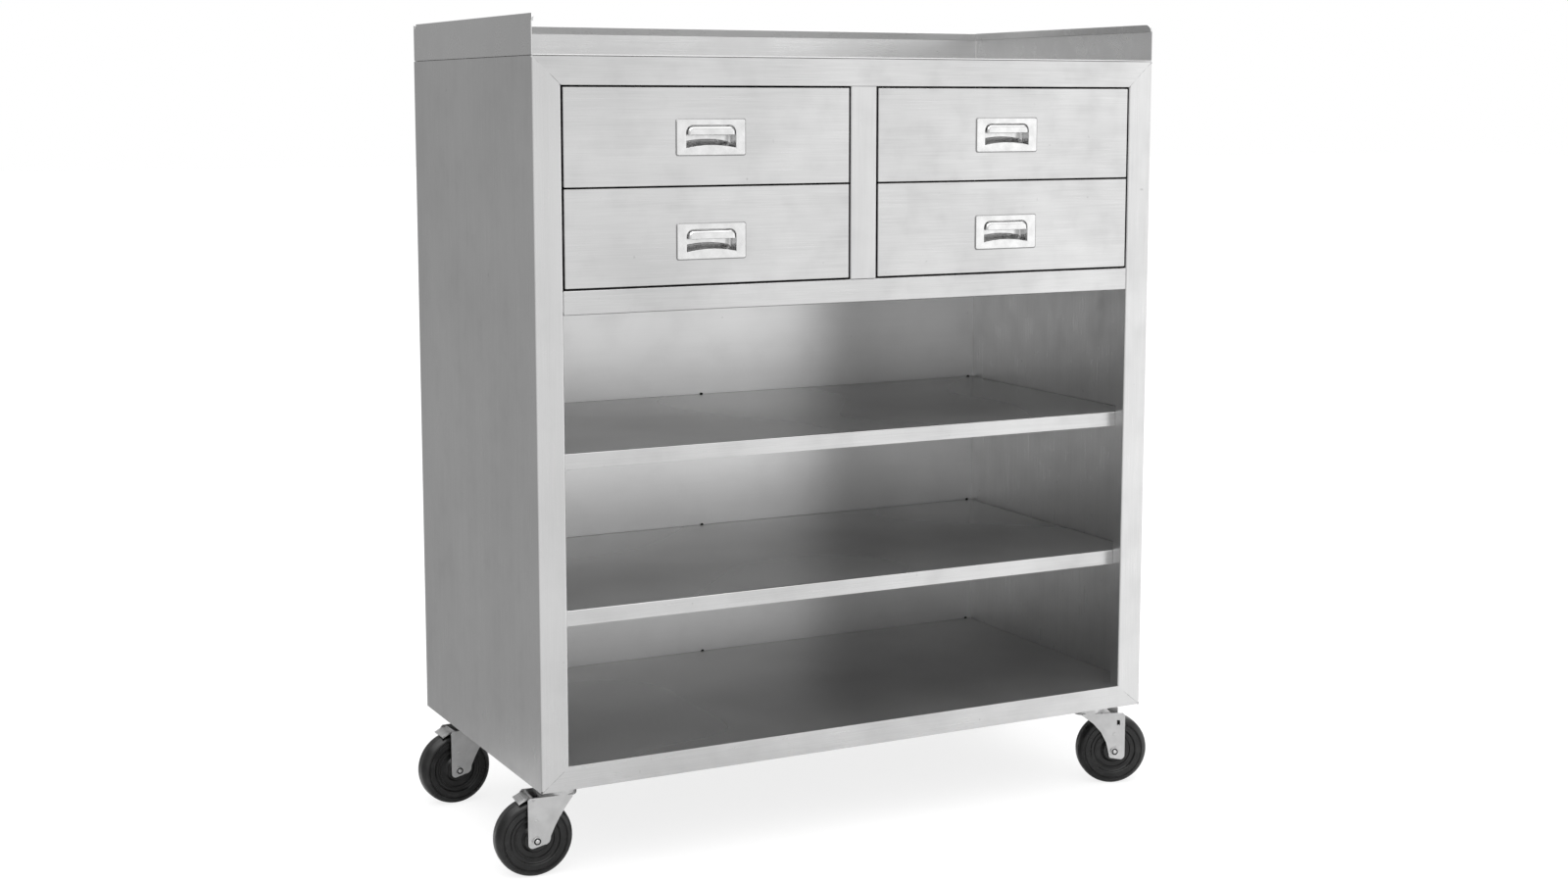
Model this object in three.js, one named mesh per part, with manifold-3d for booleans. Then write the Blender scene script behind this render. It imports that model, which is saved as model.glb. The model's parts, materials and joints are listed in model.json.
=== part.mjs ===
// Mobile storage cabinet in folded stainless sheet: a worktop with upstands on three sides,
// four drawers in two columns, two fixed shelves over a folded bottom, and four swivel castors.
// Millimetres, +Z up. The front faces -Y and the origin is on the floor, under the middle of the whole.
import * as THREE from "three";
import { mergeVertices } from "three/addons/utils/BufferGeometryUtils.js";
import Module from "manifold-3d";

const wasm = await Module();
wasm.setup();

// Driving dimensions of the body
const BODY_WIDTH = 900;
const BODY_DEPTH = 450;
const BODY_HEIGHT = 900;
const PANEL_SHEET = 1.2;
const FRAME_SHEET = 1.5;
const STILE_FACE = 37;
const CENTRE_STILE_FACE = 38;
const FRAME_RETURN = 18;
const TOP_RAIL_FACE = 34.5;
const BOTTOM_RAIL_FACE = 30;
const MID_RAIL_FACE = 30;
const LOWER_BAY = 192;
const MIDDLE_BAY = 196;
const SHELF_EDGE = 20;
const CASTOR_LIP = 96;

// Worktop tray
const WORKTOP_SHEET = 1.5;
const UPSTAND_HEIGHT = 50;
const LIP_HEIGHT = 10;
const LIP_LEAN = 2.5;
const UPSTAND_CORNER_RADIUS = 7;

// Drawers and their slides
const DRAWER_GAP = 2.2;
const FRONT_HEIGHT = 119.7;
const FRONT_DEPTH = 18;
const FRONT_LIP = 26;
const BOX_SHEET = 1;
const BOX_RAISE = 14;
const BOX_HEADROOM = 20;
const SLIDE_REAR_CLEARANCE = 50;
const SLIDE_THICKNESS = 12.7;
const SLIDE_HEIGHT = 35;
const SLIDE_SHEET = 1.2;
const SLIDE_FLANGE = 10;
const BRACKET_FOOT = 24;

// Recessed pulls
const PULL_WIDTH = 95.5;
const PULL_HEIGHT = 46;
const PULL_CORNER_RADIUS = 3;
const PULL_SHEET = 1;
const PULL_DROP_UPPER = 1;
const PULL_DROP_LOWER = 7;
const MOUTH_WIDTH = 67.5;
const MOUTH_TOP = 14.7;
const MOUTH_BOTTOM = -13.3;
const MOUTH_ARCH = 3.5;
const MOUTH_CORNER_RADIUS = 9;
const CUP_DEPTH = 15;
const HOOD_BOTTOM = 3;
const HOOD_BULGE = 2.7;

// Castors
const WHEEL_DIAMETER = 100;
const WHEEL_WIDTH = 30;
const TREAD_FLAT = 8;
const TREAD_CROWN = 0.5;
const SHOULDER_WIDTH = 7.5;
const SHOULDER_DROP = 2.5;
const WHEEL_FACE_RADIUS = 43;
const WHEEL_RECESS_RADIUS = 31;
const WHEEL_RECESS_DEPTH = 3;
const HUB_RADIUS = 15;
const AXLE_DIAMETER = 8;
const AXLE_HEAD_DIAMETER = 11;
const AXLE_HEAD_LENGTH = 3.5;
const AXLE_NUT_DIAMETER = 14;
const FORK_SHEET = 2.5;
const FORK_GAP = 38;
const WHEEL_CLEARANCE = 3;
const TRAIL = 35;
const LEG_FRONT = 12;
const LEG_HEEL_RADIUS = 6;
const LEG_SHOULDER = 3;
const CROWN_TAIL = 30;
const HEAD_RADIUS = 22;
const RACE_STACK = 15.2;
const RACE_RADIUS = 27;
const KINGPIN_DIAMETER = 12;
const PLATE_LENGTH = 80;
const PLATE_WIDTH = 70;
const PLATE_THICKNESS = 3;
const PLATE_CORNER_RADIUS = 6;
const CASTOR_INSET_FRONT = 46;
const CASTOR_INSET_REAR = 52;
const CASTOR_INSET_Y = 60;
const SLOT_WIDTH = 4.5;
const SLOT_HEIGHT = 7;
const SLOT_FROM_EDGE = 9.5;
const SLOT_BELOW_CROWN = 13.5;

// The side view of a fork's leg, from the axle: how far it reaches behind and below, the toe ahead, how much
// the toe stands higher than the heel, and the point that draws in the front edge's sweep up to the crown.
const BRAKED_LEG = { behind: 11, below: 9.5, toe: 18, rise: 7, sweepX: 27, sweepZ: 27 };
const PLAIN_LEG = { behind: 15, below: 12, toe: 8, rise: 4, sweepX: 12, sweepZ: 32 };

// How far each castor has turned
const SWIVEL_TURNS = {
  front_left: THREE.MathUtils.degToRad(6),
  front_right: THREE.MathUtils.degToRad(21),
  rear_left: THREE.MathUtils.degToRad(-2),
  rear_right: THREE.MathUtils.degToRad(6),
};

// Brake pedals on the left castors
const PEDAL_WIDTH = 31;
const PEDAL_SHEET = 2.2;
const PEDAL_PIVOT_BEHIND_AXLE = 4;
const PEDAL_PIVOT_BELOW_CROWN = 2.7;
const PEDAL_BARREL_DIAMETER = 4;
const PEDAL_PIN_DIAMETER = 2.6;
const PEDAL_REACH = 18;
const PEDAL_FLAT = 8;
const PEDAL_SLOPE = THREE.MathUtils.degToRad(27);

// Clearances: between still faces that rest on each other, and round what turns or slides
const SEAT = 0.3;
const RUN = 0.3;
const OVERRUN = 5;
const MERGE_DISTANCE = 1e-4;

// Steps in round shapes
const WHEEL_STEPS = 32;
const RACE_STEPS = 24;
const PIN_STEPS = 12;
const CORNER_STEPS = 4;

// Derived sizes
const halfWidth = BODY_WIDTH / 2;
const halfDepth = BODY_DEPTH / 2;
const front = -halfDepth;
const innerX = halfWidth - PANEL_SHEET - SEAT;
const innerFront = front + FRAME_RETURN + SEAT;
const innerBack = halfDepth - PANEL_SHEET - SEAT;
const openingX = halfWidth - STILE_FACE;
const openingTop = BODY_HEIGHT - TOP_RAIL_FACE;
const midRailTop = openingTop - 2 * FRONT_HEIGHT - 3 * DRAWER_GAP;
const midRailBottom = midRailTop - MID_RAIL_FACE;
const lowerShelfTop = BOTTOM_RAIL_FACE + LOWER_BAY;
const upperShelfTop = lowerShelfTop + MIDDLE_BAY;
const pullFace = -SEAT - PULL_SHEET;
const pullProud = HOOD_BULGE - pullFace;

const wheelRadius = WHEEL_DIAMETER / 2;
const crownTop = WHEEL_DIAMETER + WHEEL_CLEARANCE + FORK_SHEET;
const plateBottom = crownTop + RACE_STACK;
const castorHeight = plateBottom + PLATE_THICKNESS + SEAT;
const forkHalf = FORK_GAP / 2 + FORK_SHEET;
const hubHalf = FORK_GAP / 2 - 2 * RUN;
const pedalPivotX = -TRAIL - PEDAL_PIVOT_BEHIND_AXLE;
const pedalPivotZ = crownTop - PEDAL_PIVOT_BELOW_CROWN;

const columnWidth = openingX - CENTRE_STILE_FACE / 2;
const frontWidth = columnWidth - 2 * DRAWER_GAP;
const slideLength = innerBack - innerFront - SLIDE_REAR_CLEARANCE;
const boxWidth = columnWidth - 2 * (SEAT + SLIDE_THICKNESS + SEAT);
const boxHeight = FRONT_HEIGHT - BOX_RAISE - BOX_HEADROOM;
const boxBottom = -FRONT_HEIGHT / 2 + BOX_RAISE;
const slideZ = boxBottom + boxHeight / 2;

// Finishes
const brushedSteel = new THREE.MeshStandardMaterial({ color: 0xc9cbcc, metalness: 1, roughness: 0.38 });
const insideSteel = new THREE.MeshStandardMaterial({ color: 0xb4b6b8, metalness: 1, roughness: 0.45 });
const pressedSteel = new THREE.MeshStandardMaterial({ color: 0xdcdedf, metalness: 1, roughness: 0.28 });
const zincSteel = new THREE.MeshStandardMaterial({ color: 0xd2d4d4, metalness: 1, roughness: 0.4 });
const blackWheel = new THREE.MeshStandardMaterial({ color: 0x3a3a3a, metalness: 0, roughness: 0.55 });

// A closed geometry as a solid for cutting and joining, and back again.
function solid(geometry) {
  const bare = geometry.clone();
  for (const name of Object.keys(bare.attributes)) {
    if (name !== "position") bare.deleteAttribute(name);
  }
  const merged = mergeVertices(bare, MERGE_DISTANCE);
  return new wasm.Manifold(
    new wasm.Mesh({
      numProp: 3,
      vertProperties: merged.attributes.position.array,
      triVerts: new Uint32Array(merged.index.array),
    }),
  );
}

function geometryOf(shape) {
  const { vertProperties, triVerts } = shape.getMesh();
  const geometry = new THREE.BufferGeometry();
  geometry.setAttribute("position", new THREE.BufferAttribute(new Float32Array(vertProperties), 3));
  geometry.setIndex(new THREE.BufferAttribute(new Uint32Array(triVerts), 1));
  geometry.computeVertexNormals();
  return geometry;
}

function joined(...geometries) {
  return geometryOf(geometries.map(solid).reduce((a, b) => a.add(b)));
}

function cut(geometry, ...tools) {
  return geometryOf(tools.map(solid).reduce((a, b) => a.subtract(b), solid(geometry)));
}

function common(a, b) {
  return geometryOf(solid(a).intersect(solid(b)));
}

// A block between two corners.
function block(x0, x1, y0, y1, z0, z1) {
  const geometry = new THREE.BoxGeometry(x1 - x0, y1 - y0, z1 - z0);
  return geometry.translate((x0 + x1) / 2, (y0 + y1) / 2, (z0 + z1) / 2);
}

// An outline as a shape, from a list of points or from a shape that is one already.
function shapeOf(outline) {
  if (outline instanceof THREE.Shape) return outline;
  return new THREE.Shape(outline.map(([a, b]) => new THREE.Vector2(a, b)));
}

// Extrusions of an outline: in XY along Z, in YZ along X, and in XZ along Y.
function alongZ(outline, from, to) {
  const options = { depth: to - from, bevelEnabled: false, curveSegments: CORNER_STEPS };
  return new THREE.ExtrudeGeometry(shapeOf(outline), options).translate(0, 0, from);
}

const unitX = new THREE.Vector3(1, 0, 0);
const unitY = new THREE.Vector3(0, 1, 0);
const unitZ = new THREE.Vector3(0, 0, 1);
const turnToX = new THREE.Matrix4().makeBasis(unitY, unitZ, unitX);
const turnToY = new THREE.Matrix4().makeBasis(unitX, unitZ, unitY.clone().negate());

function alongX(outline, from, to) {
  return alongZ(outline, 0, to - from).applyMatrix4(turnToX).translate(from, 0, 0);
}

function alongY(outline, from, to) {
  return alongZ(outline, 0, to - from).applyMatrix4(turnToY).translate(0, to, 0);
}

// The outline of sheet folded along a path: the path is one face, and the sheet lies on its left.
function folded(path, sheet) {
  const points = path.map(([a, b]) => new THREE.Vector2(a, b));
  const normals = points.slice(1).map((point, i) => {
    const run = point.clone().sub(points[i]).normalize();
    return new THREE.Vector2(-run.y, run.x);
  });
  const otherFace = points.map((point, i) => {
    const before = normals[Math.max(i - 1, 0)];
    const after = normals[Math.min(i, normals.length - 1)];
    const mitre = before.clone().add(after).divideScalar(1 + before.dot(after));
    return point.clone().addScaledVector(mitre, sheet);
  });
  return new THREE.Shape([...points, ...otherFace.reverse()]);
}

// A rectangle about the origin with round corners.
function roundedRectangle(width, height, radius) {
  const shape = new THREE.Shape();
  const x = width / 2 - radius;
  const y = height / 2 - radius;
  const quarter = Math.PI / 2;
  shape.absarc(x, -y, radius, -quarter, 0);
  shape.absarc(x, y, radius, 0, quarter);
  shape.absarc(-x, y, radius, quarter, 2 * quarter);
  shape.absarc(-x, -y, radius, 2 * quarter, 3 * quarter);
  return shape;
}

// A solid whose level sections are the given rectangles, from the lowest up.
function stack(levels) {
  const corners = levels.flatMap(([x0, x1, y0, y1, z]) => [x0, y0, z, x1, y0, z, x1, y1, z, x0, y1, z]);
  const faces = [0, 2, 1, 0, 3, 2];
  for (let level = 0; level + 1 < levels.length; level++) {
    for (let side = 0; side < 4; side++) {
      const a = 4 * level + side;
      const b = 4 * level + ((side + 1) % 4);
      faces.push(a, b, b + 4, a, b + 4, a + 4);
    }
  }
  const top = 4 * (levels.length - 1);
  faces.push(top, top + 1, top + 2, top, top + 2, top + 3);
  const geometry = new THREE.BufferGeometry();
  geometry.setAttribute("position", new THREE.Float32BufferAttribute(corners, 3));
  geometry.setIndex(faces);
  return geometry;
}

// A profile of radius and height, followed upwards on its outside, turned about the Z axis or the Y axis.
function turnedZ(profile, steps) {
  return turnedY(profile, steps).rotateX(Math.PI / 2);
}

function turnedY(profile, steps) {
  return new THREE.LatheGeometry(profile.map(([r, h]) => new THREE.Vector2(r, h)), steps);
}

// A pin along Y about the origin of its section.
function pinAlongY(diameter, y0, y1, steps) {
  const geometry = new THREE.CylinderGeometry(diameter / 2, diameter / 2, y1 - y0, steps);
  return geometry.translate(0, (y0 + y1) / 2, 0);
}

function add(parent, name, geometry, material, x = 0, y = 0, z = 0) {
  const mesh = new THREE.Mesh(geometry, material);
  mesh.name = name;
  mesh.position.set(x, y, z);
  parent.add(mesh);
  return mesh;
}

// The folded tray that tops the body: its upstands end in a doubled lip that leans inwards.
function worktop() {
  const foot = BODY_HEIGHT + SEAT;
  const top = BODY_HEIGHT + UPSTAND_HEIGHT;
  const bend = top - LIP_HEIGHT;
  const doubled = 2 * WORKTOP_SHEET;
  const outer = stack([
    [-halfWidth, halfWidth, front, halfDepth, foot],
    [-halfWidth, halfWidth, front, halfDepth, bend],
    [-halfWidth + LIP_LEAN, halfWidth - LIP_LEAN, front, halfDepth - LIP_LEAN, top],
  ]);
  const level = (inset, z) => [
    -halfWidth + inset,
    halfWidth - inset,
    front - OVERRUN,
    halfDepth - inset,
    z,
  ];
  const well = stack([level(WORKTOP_SHEET, foot + WORKTOP_SHEET), level(WORKTOP_SHEET, bend + SEAT)]);
  const lipWell = stack([
    level(doubled, bend),
    level(doubled + LIP_LEAN, top),
    level(doubled + LIP_LEAN, top + OVERRUN),
  ]);
  const corner = new THREE.Shape();
  corner.moveTo(front - OVERRUN, top - UPSTAND_CORNER_RADIUS);
  corner.lineTo(front, top - UPSTAND_CORNER_RADIUS);
  corner.absarc(
    front + UPSTAND_CORNER_RADIUS,
    top - UPSTAND_CORNER_RADIUS,
    UPSTAND_CORNER_RADIUS,
    Math.PI,
    Math.PI / 2,
    true,
  );
  corner.lineTo(front + UPSTAND_CORNER_RADIUS, top + OVERRUN);
  corner.lineTo(front - OVERRUN, top + OVERRUN);
  return cut(outer, well, lipWell, alongX(corner, -halfWidth - OVERRUN, halfWidth + OVERRUN));
}

// One side panel: side is -1 on the left and 1 on the right.
function sidePanel(side) {
  const x = side * (halfWidth - PANEL_SHEET / 2);
  const half = PANEL_SHEET / 2;
  return block(x - half, x + half, front + FRAME_SHEET + SEAT, halfDepth, 0, BODY_HEIGHT);
}

function backPanel() {
  return block(-innerX, innerX, halfDepth - PANEL_SHEET, halfDepth, 0, BODY_HEIGHT);
}

// An outer stile: its face is mitred to the rails above and below, and its return lines the opening.
function outerStile(side) {
  const face = [
    [side * halfWidth, 0],
    [side * openingX, BOTTOM_RAIL_FACE],
    [side * openingX, openingTop],
    [side * halfWidth, BODY_HEIGHT],
  ];
  const edge = side * openingX;
  const back = edge + side * FRAME_SHEET;
  const [x0, x1] = [Math.min(edge, back), Math.max(edge, back)];
  const low = BOTTOM_RAIL_FACE + SEAT;
  return joined(
    alongY(face, front, front + FRAME_SHEET),
    block(x0, x1, front, front + FRAME_RETURN, low, openingTop - SEAT),
  );
}

// The face of a rail between mitred stiles: wide at z0, where it meets the outer edge, narrow at z1.
function mitredFace(z0, z1) {
  const wide = halfWidth - 2 * SEAT;
  const narrow = openingX - 2 * SEAT;
  const outline = [
    [-wide, z0],
    [wide, z0],
    [narrow, z1],
    [-narrow, z1],
  ];
  return alongY(outline, front, front + FRAME_SHEET);
}

function topRail() {
  const reach = openingX - 2 * SEAT;
  return joined(
    mitredFace(BODY_HEIGHT, openingTop),
    block(-reach, reach, front, front + FRAME_RETURN, openingTop, openingTop + FRAME_SHEET),
    block(-reach, reach, front, front + FRAME_RETURN, BODY_HEIGHT - FRAME_SHEET, BODY_HEIGHT),
  );
}

function midRail() {
  const path = [
    [front + FRAME_RETURN, midRailTop],
    [front, midRailTop],
    [front, midRailBottom],
    [front + FRAME_RETURN, midRailBottom],
  ];
  return alongX(folded(path, FRAME_SHEET), -openingX + SEAT, openingX - SEAT);
}

function centreStile() {
  const half = CENTRE_STILE_FACE / 2;
  const path = [
    [-half, front + FRAME_RETURN],
    [-half, front],
    [half, front],
    [half, front + FRAME_RETURN],
  ];
  return alongZ(folded(path, FRAME_SHEET), midRailTop + SEAT, openingTop - SEAT);
}

// The bottom is one folded pan: its front flange is the bottom rail, and its side lips carry the castors.
function bottomShelf() {
  const top = BOTTOM_RAIL_FACE;
  const behindFace = front + FRAME_SHEET + SEAT;
  const strip = openingX - 2 * SEAT;
  const shell = cut(
    block(-innerX, innerX, behindFace, innerBack, 0, top),
    block(
      -innerX + FRAME_SHEET,
      innerX - FRAME_SHEET,
      behindFace - OVERRUN,
      innerBack - FRAME_SHEET,
      FRAME_SHEET,
      top - FRAME_SHEET,
    ),
    block(
      -innerX + CASTOR_LIP,
      innerX - CASTOR_LIP,
      behindFace - OVERRUN,
      innerBack - FRAME_SHEET,
      -OVERRUN,
      top - FRAME_SHEET,
    ),
  );
  const fold = block(-strip, strip, front, behindFace + FRAME_SHEET, top - FRAME_SHEET, top);
  return joined(shell, mitredFace(0, top), fold);
}

// A shelf is a shallow tray turned upside down, folded down at all four edges.
function shelf(top) {
  const bottom = top - SHELF_EDGE;
  return cut(
    block(-innerX, innerX, innerFront, innerBack, bottom, top),
    block(
      -innerX + PANEL_SHEET,
      innerX - PANEL_SHEET,
      innerFront + PANEL_SHEET,
      innerBack - PANEL_SHEET,
      bottom - OVERRUN,
      top - PANEL_SHEET,
    ),
  );
}

function drawerDeck() {
  return block(-innerX, innerX, innerFront, innerBack, midRailTop - PANEL_SHEET, midRailTop);
}

// The hollow partition behind the centre stile, which carries the inner slides of both columns.
function drawerDivider() {
  const half = CENTRE_STILE_FACE / 2;
  const low = midRailTop + SEAT;
  return cut(
    block(-half, half, innerFront, innerBack, low, BODY_HEIGHT),
    block(
      -half + PANEL_SHEET,
      half - PANEL_SHEET,
      innerFront + PANEL_SHEET,
      innerBack - PANEL_SHEET,
      low - OVERRUN,
      BODY_HEIGHT + OVERRUN,
    ),
  );
}

// Drawer pieces are in the drawer's own frame: its origin is the middle of the front's outer face.
// The front is a pan folded back all round, with lips behind that the box is fixed to.
function drawerFront(pullZ) {
  const x = frontWidth / 2;
  const z = FRONT_HEIGHT / 2;
  const holeX = MOUTH_WIDTH / 2 + PULL_SHEET + SEAT;
  const holeTop = pullZ + MOUTH_TOP + PULL_SHEET + SEAT;
  const holeBottom = pullZ + MOUTH_BOTTOM - PULL_SHEET - SEAT;
  return cut(
    block(-x, x, 0, FRONT_DEPTH, -z, z),
    block(
      -x + PANEL_SHEET,
      x - PANEL_SHEET,
      PANEL_SHEET,
      FRONT_DEPTH - PANEL_SHEET,
      -z + PANEL_SHEET,
      z - PANEL_SHEET,
    ),
    block(-x + FRONT_LIP, x - FRONT_LIP, PANEL_SHEET, FRONT_DEPTH + OVERRUN, -z + FRONT_LIP, z - FRONT_LIP),
    block(-holeX, holeX, -OVERRUN, FRONT_DEPTH - PANEL_SHEET, holeBottom, holeTop),
  );
}

function drawerBox() {
  const x = boxWidth / 2;
  const y0 = FRONT_DEPTH + SEAT;
  const top = boxBottom + boxHeight;
  return cut(
    block(-x, x, y0, y0 + slideLength, boxBottom, top),
    block(
      -x + BOX_SHEET,
      x - BOX_SHEET,
      y0 + BOX_SHEET,
      y0 + slideLength - BOX_SHEET,
      boxBottom + BOX_SHEET,
      top + OVERRUN,
    ),
  );
}

// The mouth of a pull, grown all round: round above, with a lower edge that arches up in the middle.
function mouthOutline(grow) {
  const half = MOUTH_WIDTH / 2 + grow;
  const low = MOUTH_BOTTOM - grow;
  const radius = MOUTH_CORNER_RADIUS + grow;
  const z = MOUTH_TOP - MOUTH_CORNER_RADIUS;
  const shape = new THREE.Shape();
  shape.moveTo(-half, low);
  shape.quadraticCurveTo(0, low + 2 * MOUTH_ARCH, half, low);
  shape.absarc(half - radius, z, radius, 0, Math.PI / 2);
  shape.absarc(-half + radius, z, radius, Math.PI / 2, Math.PI);
  return shape;
}

// The hood's section, a given distance inside its outer face: open at the back and below.
function hoodSection(inset, back, low) {
  const foot = pullFace + inset;
  const crest = foot - HOOD_BULGE;
  const top = MOUTH_TOP - inset;
  const shape = new THREE.Shape();
  shape.moveTo(back, low);
  shape.lineTo(back, top);
  shape.lineTo(foot, top);
  shape.quadraticCurveTo(crest, top, crest, (HOOD_BOTTOM + top) / 2);
  shape.lineTo(crest, low);
  return shape;
}

// A pressed pull in one piece: the bezel plate, the cup behind it and the hood over its upper half.
function pull() {
  const half = PULL_WIDTH / 2;
  const plate = alongY(roundedRectangle(PULL_WIDTH, PULL_HEIGHT, PULL_CORNER_RADIUS), pullFace, -SEAT);
  const cup = alongY(mouthOutline(PULL_SHEET), pullFace + PULL_SHEET / 2, CUP_DEPTH);
  const hollow = alongY(mouthOutline(0), pullFace - OVERRUN, CUP_DEPTH - PULL_SHEET);
  const ahead = pullFace - HOOD_BULGE - OVERRUN;
  const hood = common(
    alongX(hoodSection(0, -SEAT, HOOD_BOTTOM), -half, half),
    alongY(mouthOutline(PULL_SHEET / 2), ahead, CUP_DEPTH),
  );
  const hoodHollow = common(
    alongX(hoodSection(PULL_SHEET, CUP_DEPTH, HOOD_BOTTOM - OVERRUN), -half, half),
    alongY(mouthOutline(-PULL_SHEET), ahead, CUP_DEPTH),
  );
  return joined(cut(joined(plate, cup), hollow), cut(hood, hoodHollow));
}

// Slide pieces: x is 0 at the mounting face and grows towards the drawer, and z is 0 at mid height.
function slideCabinetMember(bracketReach) {
  const half = SLIDE_HEIGHT / 2;
  const path = [
    [SLIDE_FLANGE, half],
    [0, half],
    [0, -half],
    [SLIDE_FLANGE, -half],
  ];
  const channel = alongY(folded(path, SLIDE_SHEET), 0, slideLength);
  if (!bracketReach) return channel;
  const leg = block(-bracketReach, SLIDE_SHEET / 2, 0, slideLength, -SLIDE_SHEET / 2, SLIDE_SHEET / 2);
  const foot = block(
    -bracketReach,
    -bracketReach + SLIDE_SHEET,
    0,
    slideLength,
    -BRACKET_FOOT / 2,
    BRACKET_FOOT / 2,
  );
  return joined(channel, leg, foot);
}

function slideDrawerMember() {
  const half = SLIDE_HEIGHT / 2 - SLIDE_SHEET - RUN;
  const path = [
    [SLIDE_THICKNESS - SLIDE_FLANGE, -half],
    [SLIDE_THICKNESS, -half],
    [SLIDE_THICKNESS, half],
    [SLIDE_THICKNESS - SLIDE_FLANGE, half],
  ];
  return alongY(folded(path, SLIDE_SHEET), 0, slideLength);
}

// Castor pieces: the origin is on the floor under the kingpin, and the wheel trails towards -X.
function castorPlate() {
  const collarTop = plateBottom + PLATE_THICKNESS / 2;
  const raceBottom = plateBottom - RACE_STACK / 2;
  const hole = KINGPIN_DIAMETER / 2 + RUN;
  const plate = alongZ(
    roundedRectangle(PLATE_LENGTH, PLATE_WIDTH, PLATE_CORNER_RADIUS),
    plateBottom,
    plateBottom + PLATE_THICKNESS,
  );
  const race = turnedZ(
    [
      [0, raceBottom],
      [HEAD_RADIUS, raceBottom],
      [RACE_RADIUS, plateBottom],
      [RACE_RADIUS, collarTop],
      [0, collarTop],
    ],
    RACE_STEPS,
  );
  const bore = turnedZ(
    [
      [0, raceBottom - OVERRUN],
      [hole, raceBottom - OVERRUN],
      [hole, castorHeight + OVERRUN],
      [0, castorHeight + OVERRUN],
    ],
    RACE_STEPS,
  );
  return cut(joined(plate, race), bore);
}

// One leg of the fork in side view. The hind edge is upright and the front edge sweeps up to the crown.
function legOutline(leg) {
  const hind = -TRAIL - leg.behind;
  const low = wheelRadius - leg.below;
  const toe = -TRAIL + leg.toe;
  const shape = new THREE.Shape();
  shape.absarc(hind + LEG_HEEL_RADIUS, low + LEG_HEEL_RADIUS, LEG_HEEL_RADIUS, Math.PI, 3 * (Math.PI / 2));
  shape.lineTo(-TRAIL + leg.toe / 2, low + leg.rise / 2);
  shape.quadraticCurveTo(toe, low + leg.rise / 2, toe, low + 2 * leg.rise);
  shape.quadraticCurveTo(-TRAIL + leg.sweepX, wheelRadius + leg.sweepZ, LEG_FRONT, crownTop - FORK_SHEET);
  shape.lineTo(LEG_FRONT, crownTop);
  shape.lineTo(hind + LEG_SHOULDER, crownTop);
  shape.lineTo(hind, crownTop - LEG_SHOULDER);
  return shape;
}

// The fork: two legs, the crown between them, the round head and the kingpin that turns in the plate.
function fork(braked) {
  const leg = braked ? BRAKED_LEG : PLAIN_LEG;
  const inner = FORK_GAP / 2;
  const crown = joined(
    block(-CROWN_TAIL, LEG_FRONT, -forkHalf, forkHalf, crownTop - FORK_SHEET, crownTop),
    turnedZ(
      [
        [0, crownTop - FORK_SHEET],
        [HEAD_RADIUS, crownTop - FORK_SHEET],
        [HEAD_RADIUS, crownTop + RACE_STACK / 2 - RUN],
        [KINGPIN_DIAMETER / 2, crownTop + RACE_STACK / 2 - RUN],
        [KINGPIN_DIAMETER / 2, plateBottom + PLATE_THICKNESS - RUN],
        [0, plateBottom + PLATE_THICKNESS - RUN],
      ],
      RACE_STEPS,
    ),
  );
  const legs = [
    alongY(legOutline(leg), -forkHalf, -inner),
    alongY(legOutline(leg), inner, forkHalf),
  ];
  const reach = forkHalf + OVERRUN;
  const axleHole = pinAlongY(AXLE_DIAMETER + 2 * RUN, -reach, reach, PIN_STEPS);
  const holes = [axleHole.translate(-TRAIL, 0, wheelRadius)];
  if (braked) {
    const pivotHole = pinAlongY(PEDAL_PIN_DIAMETER + 2 * RUN, -reach, reach, PIN_STEPS);
    holes.push(pivotHole.translate(pedalPivotX, 0, pedalPivotZ));
  } else {
    const x = -TRAIL - leg.behind + SLOT_FROM_EDGE;
    const z = crownTop - SLOT_BELOW_CROWN;
    const [w, h] = [SLOT_WIDTH / 2, SLOT_HEIGHT / 2];
    holes.push(block(x - w, x + w, -reach, reach, z - h, z + h));
  }
  return cut(joined(crown, ...legs), ...holes);
}

// The solid wheel: a crowned tread, faces dished inside a ring, and a hub that fills the fork.
function wheel() {
  const half = WHEEL_WIDTH / 2;
  const bore = AXLE_DIAMETER / 2 + RUN;
  const recess = half - WHEEL_RECESS_DEPTH;
  const side = [
    [bore, hubHalf],
    [HUB_RADIUS, hubHalf],
    [HUB_RADIUS, recess],
    [WHEEL_RECESS_RADIUS - WHEEL_RECESS_DEPTH, recess],
    [WHEEL_RECESS_RADIUS, half],
    [WHEEL_FACE_RADIUS, half],
    [wheelRadius - SHOULDER_DROP, TREAD_FLAT / 2 + SHOULDER_WIDTH],
    [wheelRadius - TREAD_CROWN, TREAD_FLAT / 2 + SHOULDER_WIDTH / 2],
    [wheelRadius, TREAD_FLAT / 2],
  ];
  const below = side.map(([r, h]) => [r, -h]);
  return turnedY([...below, ...side.toReversed(), below[0]], WHEEL_STEPS);
}

// The axle: a round head in front, the shaft, and a nut behind.
function axle() {
  const outside = forkHalf + SEAT;
  const end = outside + AXLE_HEAD_LENGTH;
  return joined(
    pinAlongY(AXLE_DIAMETER, -end, end, PIN_STEPS),
    pinAlongY(AXLE_HEAD_DIAMETER, -end, -outside, PIN_STEPS),
    pinAlongY(AXLE_NUT_DIAMETER, outside, end, PIN_STEPS / 2),
  );
}

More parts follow.
